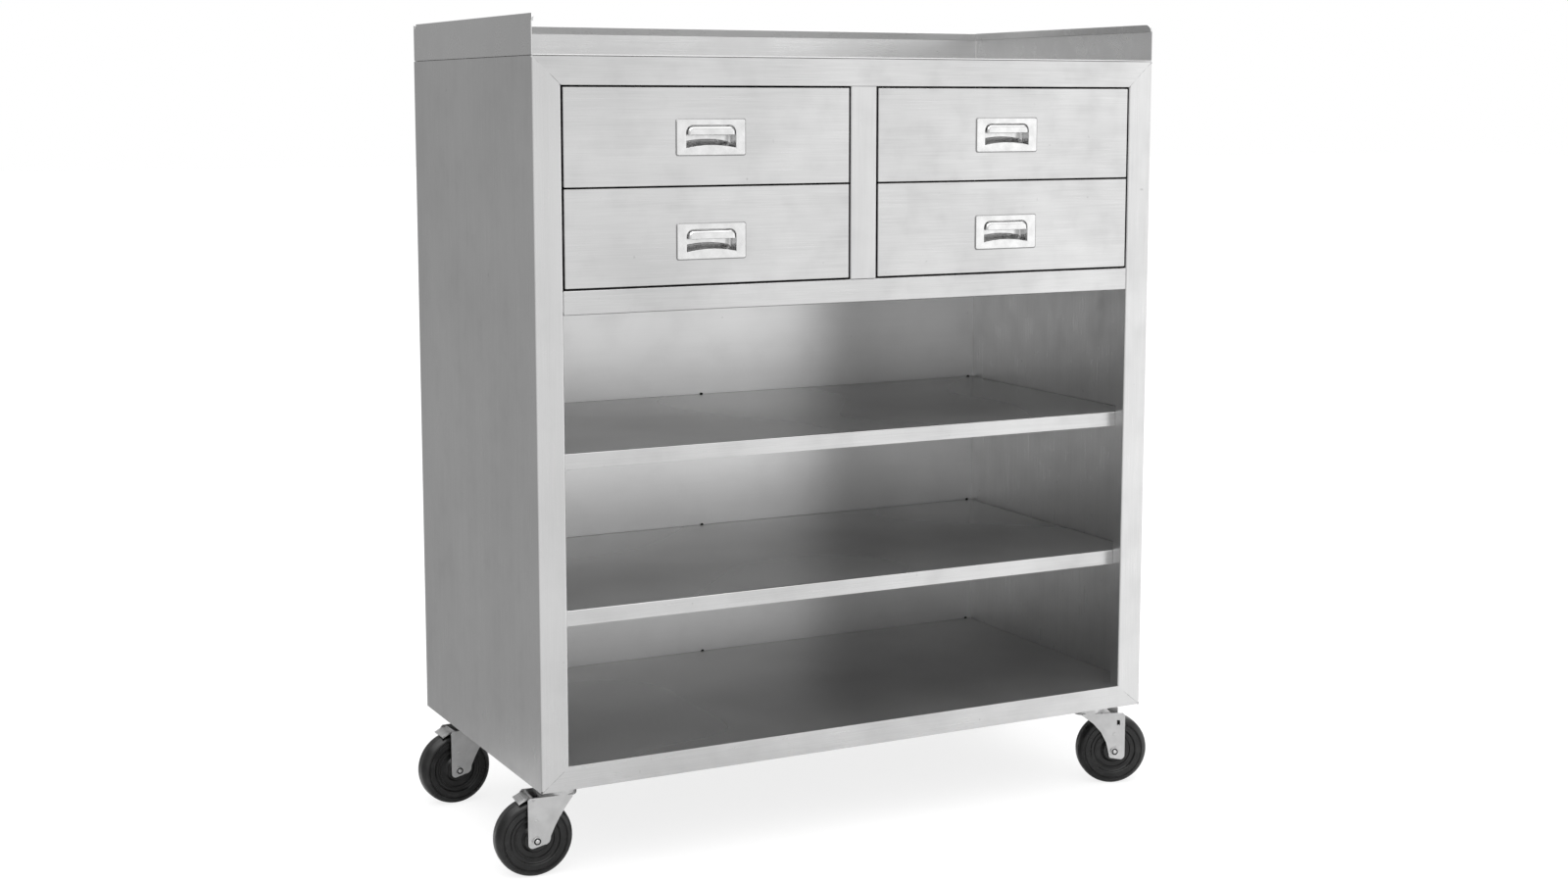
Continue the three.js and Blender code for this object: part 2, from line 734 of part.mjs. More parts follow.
// The brake pedal, about its pivot: a barrel on a pin, and a tread that follows the wheel down.
function brakePedal() {
  const top = PEDAL_SHEET / 2;
  const bend = -PEDAL_FLAT;
  const drop = (PEDAL_REACH - PEDAL_FLAT) * Math.tan(PEDAL_SLOPE);
  const path = [
    [0, top],
    [bend, top],
    [-PEDAL_REACH, top - drop],
  ];
  const half = PEDAL_WIDTH / 2;
  return joined(
    alongY(folded(path, PEDAL_SHEET), -half, half),
    pinAlongY(PEDAL_BARREL_DIAMETER, -half, half, PIN_STEPS),
    pinAlongY(PEDAL_PIN_DIAMETER, -forkHalf, forkHalf, PIN_STEPS),
  );
}

// The whole, on the floor. The pulls stand proud in front, so the body sits back by half of that.
const cabinet = new THREE.Group();
const body = new THREE.Group();
body.position.set(0, pullProud / 2, castorHeight);
cabinet.add(body);

add(body, "worktop", worktop(), brushedSteel);
add(body, "side_panel_left", sidePanel(-1), brushedSteel);
add(body, "side_panel_right", sidePanel(1), brushedSteel);
add(body, "back_panel", backPanel(), brushedSteel);
add(body, "stile_left", outerStile(-1), brushedSteel);
add(body, "stile_right", outerStile(1), brushedSteel);
add(body, "stile_centre", centreStile(), brushedSteel);
add(body, "top_rail", topRail(), brushedSteel);
add(body, "mid_rail", midRail(), brushedSteel);
add(body, "bottom_shelf", bottomShelf(), brushedSteel);
add(body, "shelf_upper", shelf(upperShelfTop), brushedSteel);
add(body, "shelf_lower", shelf(lowerShelfTop), brushedSteel);
add(body, "drawer_deck", drawerDeck(), insideSteel);
add(body, "drawer_divider", drawerDivider(), insideSteel);

// One drawer with its slides. A left-hand slide has its back to -X, and a right-hand one is turned round.
function addDrawer(row, column) {
  const name = `${row}_${column}`;
  const isUpper = row === "upper";
  const middle = CENTRE_STILE_FACE / 2 + columnWidth / 2;
  const lowest = midRailTop + DRAWER_GAP + FRONT_HEIGHT / 2;
  const group = new THREE.Group();
  group.position.set(
    column === "left" ? -middle : middle,
    front,
    isUpper ? lowest + FRONT_HEIGHT + DRAWER_GAP : lowest,
  );
  body.add(group);
  const pullZ = -(isUpper ? PULL_DROP_UPPER : PULL_DROP_LOWER);
  add(group, `drawer_${name}_front`, drawerFront(pullZ), brushedSteel);
  add(group, `drawer_${name}_box`, drawerBox(), insideSteel);
  add(group, `drawer_${name}_pull`, pull(), pressedSteel, 0, 0, pullZ);

  const mountX = columnWidth / 2 - SEAT;
  const bracketReach = innerX - openingX + SEAT;
  for (const hand of ["left", "right"]) {
    const isOuter = hand === column;
    const place = isOuter ? "outer" : "inner";
    const slide = new THREE.Group();
    const isLeft = hand === "left";
    slide.position.set(isLeft ? -mountX : mountX, FRONT_DEPTH + SEAT, slideZ);
    if (!isLeft) {
      slide.position.y += slideLength;
      slide.rotation.z = Math.PI;
    }
    group.add(slide);
    const cabinetMember = slideCabinetMember(isOuter ? bracketReach : 0);
    add(slide, `slide_${name}_${place}_cabinet`, cabinetMember, zincSteel);
    add(slide, `slide_${name}_${place}_drawer`, slideDrawerMember(), zincSteel);
  }
}

for (const row of ["upper", "lower"]) {
  for (const column of ["left", "right"]) addDrawer(row, column);
}

// One castor: the plate is fixed, and the rest turns about the kingpin.
function addCastor(end, side) {
  const name = `${end}_${side}`;
  const isLeft = side === "left";
  const isFront = end === "front";
  const x = halfWidth - (isFront ? CASTOR_INSET_FRONT : CASTOR_INSET_REAR);
  const y = halfDepth - CASTOR_INSET_Y;
  const group = new THREE.Group();
  group.position.set(isLeft ? -x : x, (isFront ? -y : y) + pullProud / 2, 0);
  cabinet.add(group);
  add(group, `castor_${name}_plate`, castorPlate(), zincSteel);

  const swivel = new THREE.Group();
  swivel.rotation.z = (isLeft ? 0 : Math.PI) - SWIVEL_TURNS[name];
  group.add(swivel);
  add(swivel, `castor_${name}_fork`, fork(isLeft), zincSteel);
  add(swivel, `castor_${name}_wheel`, wheel(), blackWheel, -TRAIL, 0, wheelRadius);
  add(swivel, `castor_${name}_axle`, axle(), zincSteel, -TRAIL, 0, wheelRadius);
  if (isLeft) {
    add(swivel, `castor_${name}_brake_pedal`, brakePedal(), zincSteel, pedalPivotX, 0, pedalPivotZ);
  }
}

for (const end of ["front", "rear"]) {
  for (const side of ["left", "right"]) addCastor(end, side);
}

export default cabinet;
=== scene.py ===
"""Looks of a mobile storage cabinet folded from brushed stainless sheet.

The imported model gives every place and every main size. Sheet parts are taken from their solids and get
the round folds and dressed edges that a press brake and a belt leave. The side panels, pulls, wheels,
bolts, bearing rings, pedal treads, welds and screws are modelled here. Lengths in the classes are in
millimetres and angles in degrees. Only the studio's lengths are in metres.
"""
import json
import logging
import math
from collections.abc import Callable, Iterator, Sequence
from contextlib import contextmanager
from dataclasses import dataclass
from enum import Enum

import bmesh
import bpy
from mathutils import Matrix, Vector

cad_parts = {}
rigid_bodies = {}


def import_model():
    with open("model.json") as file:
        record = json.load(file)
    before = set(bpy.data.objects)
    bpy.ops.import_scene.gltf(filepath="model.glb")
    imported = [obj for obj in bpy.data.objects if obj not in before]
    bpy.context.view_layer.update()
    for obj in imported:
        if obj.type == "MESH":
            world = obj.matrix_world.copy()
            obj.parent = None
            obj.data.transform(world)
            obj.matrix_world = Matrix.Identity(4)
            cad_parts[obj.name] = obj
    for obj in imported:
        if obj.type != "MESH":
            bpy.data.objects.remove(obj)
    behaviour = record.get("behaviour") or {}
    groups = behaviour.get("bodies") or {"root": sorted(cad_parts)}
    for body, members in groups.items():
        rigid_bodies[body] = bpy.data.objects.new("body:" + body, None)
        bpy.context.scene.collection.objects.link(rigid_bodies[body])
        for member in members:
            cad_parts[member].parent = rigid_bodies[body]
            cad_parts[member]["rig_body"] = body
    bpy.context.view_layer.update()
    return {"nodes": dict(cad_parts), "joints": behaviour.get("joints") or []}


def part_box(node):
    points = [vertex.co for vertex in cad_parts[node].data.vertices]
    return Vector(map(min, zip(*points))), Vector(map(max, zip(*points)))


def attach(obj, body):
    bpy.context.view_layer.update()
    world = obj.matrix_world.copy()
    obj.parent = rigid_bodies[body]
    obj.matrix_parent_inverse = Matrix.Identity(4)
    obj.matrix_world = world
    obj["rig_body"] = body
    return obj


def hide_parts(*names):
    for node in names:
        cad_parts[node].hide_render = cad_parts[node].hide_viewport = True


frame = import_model()

MM = 0.001
NEAR = 0.05 * MM  # places closer than this count as one
ALONG = 0.9  # a direction with more than this share of an axis runs along it
QUARTER = math.pi / 2
ROWS = 4  # of a matrix that turns and moves
CABINET = "cabinet"
SIDES = ("left", "right")
log = logging.getLogger("storage_cabinet")

Pair = tuple[float, float]
Triple = tuple[float, float, float]
Profile = tuple[Pair, ...]
Material = bpy.types.Material
Socket = bpy.types.NodeSocket
Source = bpy.types.Node | Socket
Test = Callable[[Vector, Vector], bool]
Setting = str | int | float | bool | Sequence[float]


class Slot(Enum):
    """The record's material slots."""

    BRUSHED = "brushed_stainless"
    INSIDE = "inside_stainless"
    PRESSED = "pressed_stainless"
    ZINC = "zinc_plated_steel"
    RUBBER = "black_rubber"


class Grain(Enum):
    """The axis that the brush lines follow."""

    ALONG_X = (1, 0, 0)
    ALONG_Z = (0, 0, 1)


class Part(Enum):
    """What is picked in edit mode."""

    CORNERS = "VERT"
    EDGES = "EDGE"
    FACES = "FACE"


class Axis(Enum):
    """The axis that a round piece is turned about: its direction, and the quarter turns that lay it so."""

    X = ((1, 0, 0), (0, 1, 0))
    Y = ((0, 1, 0), (1, 0, 0))
    Z = ((0, 0, 1), (0, 0, 0))


def linear(hex_colour: str) -> tuple[float, float, float, float]:
    """Turns an sRGB hex colour to linear light.

    Args:
        hex_colour: colour such as "#C8C8C8".

    Returns:
        Red, green, blue and an alpha of one.
    """
    toe, toe_slope = 0.04045, 12.92
    offset, scale, gamma = 0.055, 1.055, 2.4
    top = 255
    channels = [channel / top for channel in bytes.fromhex(hex_colour[1:])]
    bright = [c / toe_slope if c <= toe else ((c + offset) / scale) ** gamma for c in channels]
    return (*bright, 1.0)


def empty_tree(owner: Material | bpy.types.World) -> bpy.types.NodeTree:
    """Empties the node tree of a material or a world.

    Args:
        owner: what the nodes belong to.

    Returns:
        The empty tree.
    """
    owner.use_nodes = True
    owner.node_tree.nodes.clear()
    return owner.node_tree


def add_node(
    tree: bpy.types.NodeTree, kind: str, settings: dict[str | int, Setting] | None = None,
    links: dict[str | int, Source] | None = None,
) -> bpy.types.Node:
    """Adds one node with its settings and links.

    Args:
        tree: node tree that gets the node.
        kind: Blender's name for the kind of node.
        settings: values of attributes, or of input sockets by their name or number.
        links: what feeds the inputs, by name or number: a socket, or a node for its first output.

    Returns:
        The new node.
    """
    node = tree.nodes.new(kind)
    for key, value in (settings or {}).items():
        if isinstance(key, int) or key in node.inputs:
            node.inputs[key].default_value = value
        else:
            setattr(node, key, value)
    for key, source in (links or {}).items():
        tree.links.new(source if isinstance(source, Socket) else source.outputs[0], node.inputs[key])
    return node


class Surface:
    """A material in the making: its node tree, its shader and the steps that the finishes share."""

    def __init__(self, name: str) -> None:
        """Makes an empty material whose Principled shader is linked to the output.

        Args:
            name: the material's name.
        """
        self.material = bpy.data.materials.new(name)
        self.tree = empty_tree(self.material)
        self.shader = add_node(self.tree, "ShaderNodeBsdfPrincipled")
        add_node(self.tree, "ShaderNodeOutputMaterial", links={"Surface": self.shader})
        self.place = add_node(self.tree, "ShaderNodeTexCoord").outputs["Object"]

    def pattern(self, size: float, layers: float, stretch: Triple | None = None) -> Socket:
        """Draws a noise of a real size that stays put as the part moves.

        Args:
            size: width of one patch in millimetres.
            layers: how many finer layers it has.
            stretch: how much shorter each axis is in the pattern, or None for an even one.

        Returns:
            Its value, from 0 to 1.
        """
        place = self.place
        if stretch is not None:
            place = add_node(self.tree, "ShaderNodeMapping", {"Scale": stretch}, {"Vector": place})
        return add_node(
            self.tree, "ShaderNodeTexNoise", {"Scale": 1 / (size * MM), "Detail": layers}, {"Vector": place}
        ).outputs["Fac"]

    def blend(self, *shares: tuple[Socket, Pair, Pair]) -> Socket:
        """Adds patterns up, each with the part that shows drawn out to what it gives.

        Args:
            shares: each pattern with the range that is read and the range that it gives.

        Returns:
            The sum.
        """
        total = None
        for value, (low, high), (least, most) in shares:
            mapped = add_node(
                self.tree, "ShaderNodeMapRange",
                {"From Min": low, "From Max": high, "To Min": least, "To Max": most}, {"Value": value})
            total = mapped if total is None else add_node(
                self.tree, "ShaderNodeMath", {"operation": "ADD"}, {0: total, 1: mapped})
        return total.outputs[0]

    def relief(self, height: Socket, strength: float, depth: float) -> None:
        """Sets a pattern as the surface's bump.

        Args:
            height: the pattern.
            strength: how much of the bump shows, from 0 to 1.
            depth: how deep it is, in millimetres.
        """
        bump = {"Strength": strength, "Distance": depth * MM}
        node = add_node(self.tree, "ShaderNodeBump", bump, {"Height": height})
        self.tree.links.new(node.outputs["Normal"], self.shader.inputs["Normal"])

    def finish(self, tone: Socket, colour: str, shade: str, gloss: Socket, metal: float) -> Material:
        """Sets the colour, the roughness and the share of metal.

        Args:
            tone: how much of the shade shows, from 0 to 1.
            colour: the sRGB hex colour.
            shade: the sRGB hex colour of the darker patches.
            gloss: the roughness.
            metal: how much is a clean mirror of metal; the rest scatters light, as fine scratches do.

        Returns:
            The finished material.
        """
        first, second, blended = 6, 7, 2  # the colour sockets of a Mix node, whose names aren't unique
        mixed = add_node(
            self.tree, "ShaderNodeMix",
            {"data_type": "RGBA", first: linear(colour), second: linear(shade)}, {0: tone})
        self.tree.links.new(mixed.outputs[blended], self.shader.inputs["Base Color"])
        self.tree.links.new(gloss, self.shader.inputs["Roughness"])
        self.shader.inputs["Metallic"].default_value = metal
        return self.material


@dataclass(frozen=True)
class BrushedStainless:
    """Stainless sheet brushed with a 240 grit belt: a soft satin sheen, drawn out along the lines.

    Real lines are about 0.1 mm apart. They are drawn 0.9 mm apart, the finest that shows from a step away.
    Clouds are where the belt pressed harder, smudges are what hands leave, and specks are small dents.
    Patterns are given as patch size and finer layers, and ranges as the part of them that shows.
    """

    label: str
    colour: str = "#D6D6D6"
    shade: str = "#BDBDBD"
    roughness: float = 0.34
    gloss_spread: float = 0.04
    metal: float = 1.0
    grain: Grain = Grain.ALONG_X
    lines: Pair = (0.9, 3.0)
    line_length: float = 70.0
    line_range: Pair = (0.3, 0.7)
    line_share: float = 0.16
    line_depth: float = 0.02
    line_strength: float = 0.3
    bands: Pair = (12.6, 2.0)
    band_range: Pair = (0.35, 0.7)
    clouds: Pair = (190.0, 3.0)
    cloud_share: float = 0.55
    smudges: Pair = (45.0, 4.0)
    smudge_range: Pair = (0.5, 0.75)
    smudge_share: float = 0.25
    grease_range: Pair = (0.4, 0.75)
    specks: Pair = (9.0, 1.0)
    speck_range: Pair = (0.78, 0.83)
    speck_share: float = 0.8

    def material(self) -> Material:
        """Makes the finish.

        Returns:
            The material.
        """
        surface = Surface(self.label)
        squeeze = self.lines[0] / self.line_length
        stretch = tuple(squeeze if share else 1.0 for share in self.grain.value)
        lines = surface.pattern(*self.lines, stretch)
        bands = surface.pattern(*self.bands, stretch)
        clouds, smudges, specks = (surface.pattern(*p) for p in (self.clouds, self.smudges, self.specks))
        tone = surface.blend(
            (clouds, self.band_range, (0.0, self.cloud_share)),
            (smudges, self.smudge_range, (0.0, self.smudge_share)),
            (bands, self.band_range, (0.0, self.line_share)),
            (lines, self.line_range, (-self.line_share, self.line_share)),
            (specks, self.speck_range, (0.0, self.speck_share)),
        )
        spread = self.gloss_spread
        gloss = surface.blend(
            (lines, self.line_range, (self.roughness - spread, self.roughness + spread)),
            (smudges, self.grease_range, (-spread, spread)),
        )
        surface.relief(lines, self.line_strength, self.line_depth)
        return surface.finish(tone, self.colour, self.shade, gloss, self.metal)


@dataclass(frozen=True)
class PatchyFinish:
    """What the plainer finishes share: patches in tone, waves in gloss, and a grain in relief.

    Patterns are given as patch size and finer layers, and ranges as the part of them that shows. Without
    waves the gloss follows the patches, and without a grain the relief follows the waves.
    """

    label: str
    colour: str
    shade: str
    roughness: float
    gloss_swing: Pair
    patches: Pair
    tone_range: Pair = (0.35, 0.7)
    tone_share: float = 1.0
    waves: Pair | None = None
    gloss_range: Pair = (0.3, 0.7)
    grain: Pair | None = None
    depth: float = 0.0
    strength: float = 0.0
    metal: float = 1.0

    def material(self) -> Material:
        """Makes the finish.

        Returns:
            The material.
        """
        surface = Surface(self.label)
        patches = surface.pattern(*self.patches)
        waves = surface.pattern(*self.waves) if self.waves else patches
        less, more = self.gloss_swing
        tone = surface.blend((patches, self.tone_range, (0.0, self.tone_share)))
        gloss = surface.blend((waves, self.gloss_range, (self.roughness + less, self.roughness + more)))
        if self.depth:
            height = surface.pattern(*self.grain) if self.grain else waves
            surface.relief(height, self.strength, self.depth)
        return surface.finish(tone, self.colour, self.shade, gloss, self.metal)


@dataclass(frozen=True)
class MillStainless(PatchyFinish):
    """Cold rolled stainless sheet as it leaves the mill: duller and darker, with slow waves of the rolls.

    Seen flat along the sheet it turns bright. Its copies on the shelf tops, the worktop's pan and the
    shelf undersides are darker in colour: painted shade.
    """

    label: str = "mill_stainless"
    colour: str = "#A6A6A6"
    shade: str = "#8C8C8C"
    roughness: float = 0.4
    gloss_swing: Pair = (-0.03, 0.05)
    patches: Pair = (120.0, 1.0)
    tone_range: Pair = (0.3, 0.7)
    waves: Pair | None = (320.0, 0.0)
    gloss_range: Pair = (0.2, 0.8)
    depth: float = 0.3
    strength: float = 0.3


@dataclass(frozen=True)
class PressedStainless(PatchyFinish):
    """Stainless pressing, tumbled bright: smoother than the sheet round it, so it mirrors the lights."""

    label: str = "tumbled_pressing"
    colour: str = "#E6E6E6"
    shade: str = "#DADADA"
    roughness: float = 0.24
    gloss_swing: Pair = (-0.03, 0.04)
    patches: Pair = (14.0, 2.0)


@dataclass(frozen=True)
class ZincPlate(PatchyFinish):
    """Pressed steel with bright zinc: pale, faintly clouded, with a fine grain left by the bath."""

    label: str = "bright_zinc_plate"
    colour: str = "#D8D8D8"
    shade: str = "#CACACA"
    roughness: float = 0.36
    gloss_swing: Pair = (-0.03, 0.05)
    patches: Pair = (16.0, 3.0)
    tone_range: Pair = (0.35, 0.75)
    grain: Pair | None = (1.2, 2.0)
    depth: float = 0.02
    strength: float = 0.2


@dataclass(frozen=True)
class ScorchedSteelAndShade(PatchyFinish):
    """Steel darkened by heat in weld beads; in the groove round an axle's rivet head the same dark is
    painted shade.
    """

    label: str = "scorched_steel_and_painted_shade"
    colour: str = "#4A4A4A"
    shade: str = "#2A2A2A"
    roughness: float = 0.5
    gloss_swing: Pair = (-0.1, 0.1)
    patches: Pair = (2.5, 3.0)


@dataclass(frozen=True)
class DressedWeld(PatchyFinish):
    """A weld ground flush with a coarse disc: in places as bright as the sheet, in places smeared dark."""

    label: str = "dressed_weld"
    colour: str = "#D2D2D2"
    shade: str = "#6E6E6E"
    roughness: float = 0.4
    gloss_swing: Pair = (-0.05, 0.1)
    patches: Pair = (11.0, 3.0)
    tone_range: Pair = (0.42, 0.58)


@dataclass(frozen=True)
class MouldedRubber(PatchyFinish):
    """Hard moulded rubber: near black with a satin skin that turned rings catch, greyed a little by dust."""

    label: str = "moulded_rubber"
    colour: str = "#141414"
    shade: str = "#2E2E2E"
    roughness: float = 0.28
    gloss_swing: Pair = (-0.03, 0.1)
    patches: Pair = (18.0, 4.0)
    tone_range: Pair = (0.5, 0.8)
    tone_share: float = 0.7
    grain: Pair | None = (0.8, 2.0)
    depth: float = 0.04
    strength: float = 0.15
    metal: float = 0.0


class Palette:
    """The materials, each made once."""

    def __init__(self) -> None:
        """Makes the materials."""
        self.across = BrushedStainless("brushed_across").material()
        self.upright = BrushedStainless(
            "brushed_upright", grain=Grain.ALONG_Z, cloud_share=0.35, smudge_share=0.15, line_share=0.1,
        ).material()
        # A lighter, glossier copy of the brushed finish for the back panel: painted light in the bays.
        self.lit_lining = BrushedStainless(
            "brushed_lining_painted_light", "#EEEEEE", "#DCDCDC", roughness=0.3, gloss_spread=0.01, metal=0.93,
            line_share=0.06, line_strength=0.1, cloud_share=0.4, smudge_share=0.2,
        ).material()
        # A lighter copy of the brushed finish for the worktop: painted light.
        self.bright = BrushedStainless(
            "brushed_bright_painted_light", "#DEDEDE", "#CCCCCC", roughness=0.32, cloud_share=0.35, smudge_share=0.1,
            line_share=0.1,
        ).material()
        # Darker copies of the mill finish for the shelf tops and, darker still, the undersides: painted
        # shade.
        self.shaded_shelf_top = MillStainless(
            "mill_shelf_top_painted_shade", "#ABABAB", "#A0A0A0", roughness=0.28, metal=0.82,
        ).material()
        self.shaded_underside = MillStainless(
            "mill_underside_painted_shade", "#8E8E8E", "#828282", roughness=0.5, metal=0.62,
        ).material()
        self.mill = MillStainless().material()
        self.pressed = PressedStainless().material()
        self.zinc = ZincPlate().material()
        self.scorched_and_shade = ScorchedSteelAndShade().material()
        self.weld = DressedWeld().material()
        self.rubber = MouldedRubber().material()


@dataclass
class Workpiece:
    """A piece on the bench: a mesh that is shaped in edit mode and then fixed to a body."""

    thing: bpy.types.Object

    @classmethod
    def start(
        cls, name: str, primitive: Callable[..., set[str]], stretch: Triple = (1.0, 1.0, 1.0),
        **settings: Setting,
    ) -> "Workpiece":
        """Adds a primitive and puts its place into its mesh.

        Args:
            name: the piece's name.
            primitive: the operator that adds it.
            stretch: how far it is drawn out along its own axes.
            settings: the operator's settings.

        Returns:
            The piece.
        """
        bpy.ops.object.select_all(action="DESELECT")
        primitive(**settings)
        thing = bpy.context.active_object
        thing.name = thing.data.name = name
        thing.scale = stretch
        bpy.ops.object.transform_apply(location=True, rotation=True, scale=True)
        return cls(thing)

    @classmethod
    def from_box(cls, name: str, low: Triple, high: Triple) -> "Workpiece":
        """Starts from a cube between two corners, which are in metres."""
        low, high, cube = Vector(low), Vector(high), bpy.ops.mesh.primitive_cube_add
        return cls.start(name, cube, size=1, location=(low + high) / 2, scale=high - low)

    @classmethod
    def from_disc(
        cls, name: str, radius: float, low: float, high: float, axis: Axis, sides: int
    ) -> "Workpiece":
        """Starts from a cylinder about an axis through the origin.

        Args:
            name: the piece's name.
            radius: radius in millimetres.
            low: where it starts along the axis, in millimetres.
            high: where it ends along the axis.
            axis: the axis.
            sides: how many sides stand for the round.

        Returns:
            The piece.
        """
        way, quarters = axis.value
        return cls.start(
            name, bpy.ops.mesh.primitive_cylinder_add, vertices=sides, radius=radius * MM,
            depth=(high - low) * MM, location=Vector(way) * (low + high) * MM / 2,
            rotation=Vector(quarters) * QUARTER,
        )

    @classmethod
    def from_node(cls, name: str, node: str) -> "Workpiece":
        """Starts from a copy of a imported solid, with its loose triangles merged to whole faces.

        Args:
            name: the piece's name.
            node: the solid's name.

        Returns:
            The piece.
        """
        weld_distance, flat_angle = 0.005 * MM, math.radians(0.5)
        piece = cls(frame["nodes"][node]).copy(name, Matrix())
        piece.thing.data.materials.clear()
        with piece.shaping():
            bpy.ops.mesh.select_all(action="SELECT")
            bpy.ops.mesh.remove_doubles(threshold=weld_distance)
            bpy.ops.mesh.dissolve_limited(angle_limit=flat_angle)
        return piece

    def select(self) -> None:
        """Makes the piece the active one, and the only one selected."""
        bpy.ops.object.select_all(action="DESELECT")
        self.thing.select_set(True)
        bpy.context.view_layer.objects.active = self.thing

    @contextmanager
    def shaping(self) -> Iterator[None]:
        """Opens the piece in edit mode for the length of a with block.

        Yields:
            Nothing, while edit mode is on.
        """
        self.select()
        bpy.ops.object.mode_set(mode="EDIT")
        try:
            yield
        finally:
            bpy.ops.object.mode_set(mode="OBJECT")

    def pick(self, part: Part, test: Test) -> None:
        """Selects what passes a test, in edit mode.

        Args:
            part: corners, edges or faces.
            test: is given a middle and a direction, which is a face's normal, an edge's run or zero.
        """
        bpy.ops.mesh.select_mode(type=part.value)
        bpy.ops.mesh.select_all(action="DESELECT")
        mesh = bmesh.from_edit_mesh(self.thing.data)
        if part is Part.FACES:
            rows = [(f, f.calc_center_median(), f.normal) for f in mesh.faces]
        elif part is Part.EDGES:
            ends = [(e, e.verts[0].co, e.verts[1].co) for e in mesh.edges]
            rows = [(e, (a + b) / 2, (b - a).normalized()) for e, a, b in ends]
        else:
            rows = [(v, v.co, Vector()) for v in mesh.verts]
        for item in [item for item, middle, direction in rows if test(middle, direction)]:
            item.select_set(True)
        mesh.select_flush_mode()
        bmesh.update_edit_mesh(self.thing.data)

    def shift(self, way: Triple, test: Test) -> None:
        """Moves the corners that pass a test, in edit mode."""
        self.pick(Part.CORNERS, test)
        bpy.ops.transform.translate(value=way)

    def extrude(self, way: Triple, test: Test) -> None:
        """Draws a new strip out of the edges that pass a test, in edit mode."""
        self.pick(Part.EDGES, test)
        bpy.ops.mesh.extrude_region_move(TRANSFORM_OT_translate={"value": way})

    def round_off(self, radius: float, steps: int, test: Test) -> None:
        """Rounds the edges that pass a test to a radius in millimetres, in edit mode."""
        self.pick(Part.EDGES, test)
        bpy.ops.mesh.bevel(offset=radius * MM, segments=steps, affect="EDGES")

    def cut_away(self, test: Test, kind: str = "FACE") -> None:
        """Deletes the faces that pass a test, in edit mode."""
        self.pick(Part.FACES, test)
        bpy.ops.mesh.delete(type=kind)

    def turn(self, test: Test, start: Pair, profile: Sequence[Pair]) -> None:
        """Turns the round faces that pass a test to a profile, ring by ring, in edit mode.

        Args:
            test: is given a face's middle and its normal.
            start: radius and height of the faces, in millimetres.
            profile: radius and height of each further ring.
        """
        self.pick(Part.FACES, test)
        radius, height = start
        for next_radius, next_height in profile:
            bpy.ops.mesh.inset(
                thickness=(radius - next_radius) * MM, depth=(next_height - height) * MM)
            radius, height = next_radius, next_height

    def face_outwards(self, way: Vector) -> None:
        """Turns an open shell so that its widest face looks a given way, in edit mode.

        Args:
            way: the direction that the widest face has to look in.
        """
        bpy.ops.mesh.select_all(action="SELECT")
        bpy.ops.mesh.normals_make_consistent(inside=False)
        mesh = bmesh.from_edit_mesh(self.thing.data)
        widest = max(mesh.faces, key=lambda face: face.calc_area() * (abs(face.normal.dot(way)) > ALONG))
        if widest.normal.dot(way) < 0:
            bpy.ops.mesh.flip_normals()

    def modify(self, kind: str, **settings: Setting) -> "Workpiece":
        """Adds a modifier and applies it.

        Args:
            kind: Blender's name for the kind of modifier.
            settings: its settings.

        Returns:
            The piece.
        """
        modifier = self.thing.modifiers.new(kind.lower(), kind)
        for key, value in settings.items():
            setattr(modifier, key, value)
        self.select()
        bpy.ops.object.modifier_apply(modifier=modifier.name)
        return self

    def thicken(self, sheet: float) -> "Workpiece":
        """Gives an open shell the thickness of its sheet in millimetres, behind its face."""
        return self.modify("SOLIDIFY", thickness=sheet * MM, offset=-1, use_even_offset=True)

    def ease_edges(self, radius: float, steps: int = 1) -> "Workpiece":
        """Rounds every sharp edge of the piece a little, as tumbling does."""
        return self.modify("BEVEL", width=radius * MM, segments=steps, limit_method="ANGLE")

    def smooth(self, crease: float = 35.0) -> "Workpiece":
        """Shades the piece smooth where its faces meet at less than an angle, and keeps flat faces flat.

        Args:
            crease: the angle.

        Returns:
            The piece.
        """
        flat_faces_lead = 100
        self.select()
        bpy.ops.object.shade_smooth_by_angle(angle=math.radians(crease))
        return self.modify("WEIGHTED_NORMAL", keep_sharp=True, weight=flat_faces_lead)

    def dress(self, *materials: Material) -> "Workpiece":
        """Gives the piece its materials, the first of them all over.

        Args:
            materials: the materials.

        Returns:
            The piece.
        """
        for material in materials:
            self.thing.data.materials.append(material)
        return self

    def paint(self, number: int, test: Test) -> "Workpiece":
        """Gives some faces another of the piece's materials.

        Args:
            number: the material's place among the piece's materials, from 0.
            test: is given a face's middle and its normal.

        Returns:
            The piece.
        """
        for face in self.thing.data.polygons:
            if test(face.center, face.normal):
                face.material_index = number
        return self

    def fix(self, body: str, slot: Slot, *stands_for: str) -> None:
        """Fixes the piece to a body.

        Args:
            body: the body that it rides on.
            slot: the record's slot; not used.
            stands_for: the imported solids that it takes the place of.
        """
        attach(self.thing, body)
        if stands_for:
            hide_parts(*stands_for)
        log.info("%s: %d faces on %s", self.thing.name, len(self.thing.data.polygons), body)

    def move(self, place: Matrix) -> "Workpiece":
        """Moves the piece's mesh."""
        self.thing.data.transform(place)
        return self

    def copy(self, name: str, place: Matrix) -> "Workpiece":
        """Copies the piece to another place, with a mesh of its own.

        Args:
            name: the copy's name.
            place: how the copy's mesh is moved.

        Returns:
            The copy.
        """
        thing = bpy.data.objects.new(name, self.thing.data.copy())
        thing.data.name = name
        bpy.context.scene.collection.objects.link(thing)
        return Workpiece(thing).move(place)

    def join(self, others: Sequence["Workpiece"], name: str) -> "Workpiece":
        """Joins other pieces into this one.

        Args:
            others: the pieces, which are used up.
            name: the name that the whole gets.

        Returns:
            The piece.
        """
        self.select()
        for other in others:
            other.thing.select_set(True)
        bpy.ops.object.join()
        self.thing.name = name
        return self

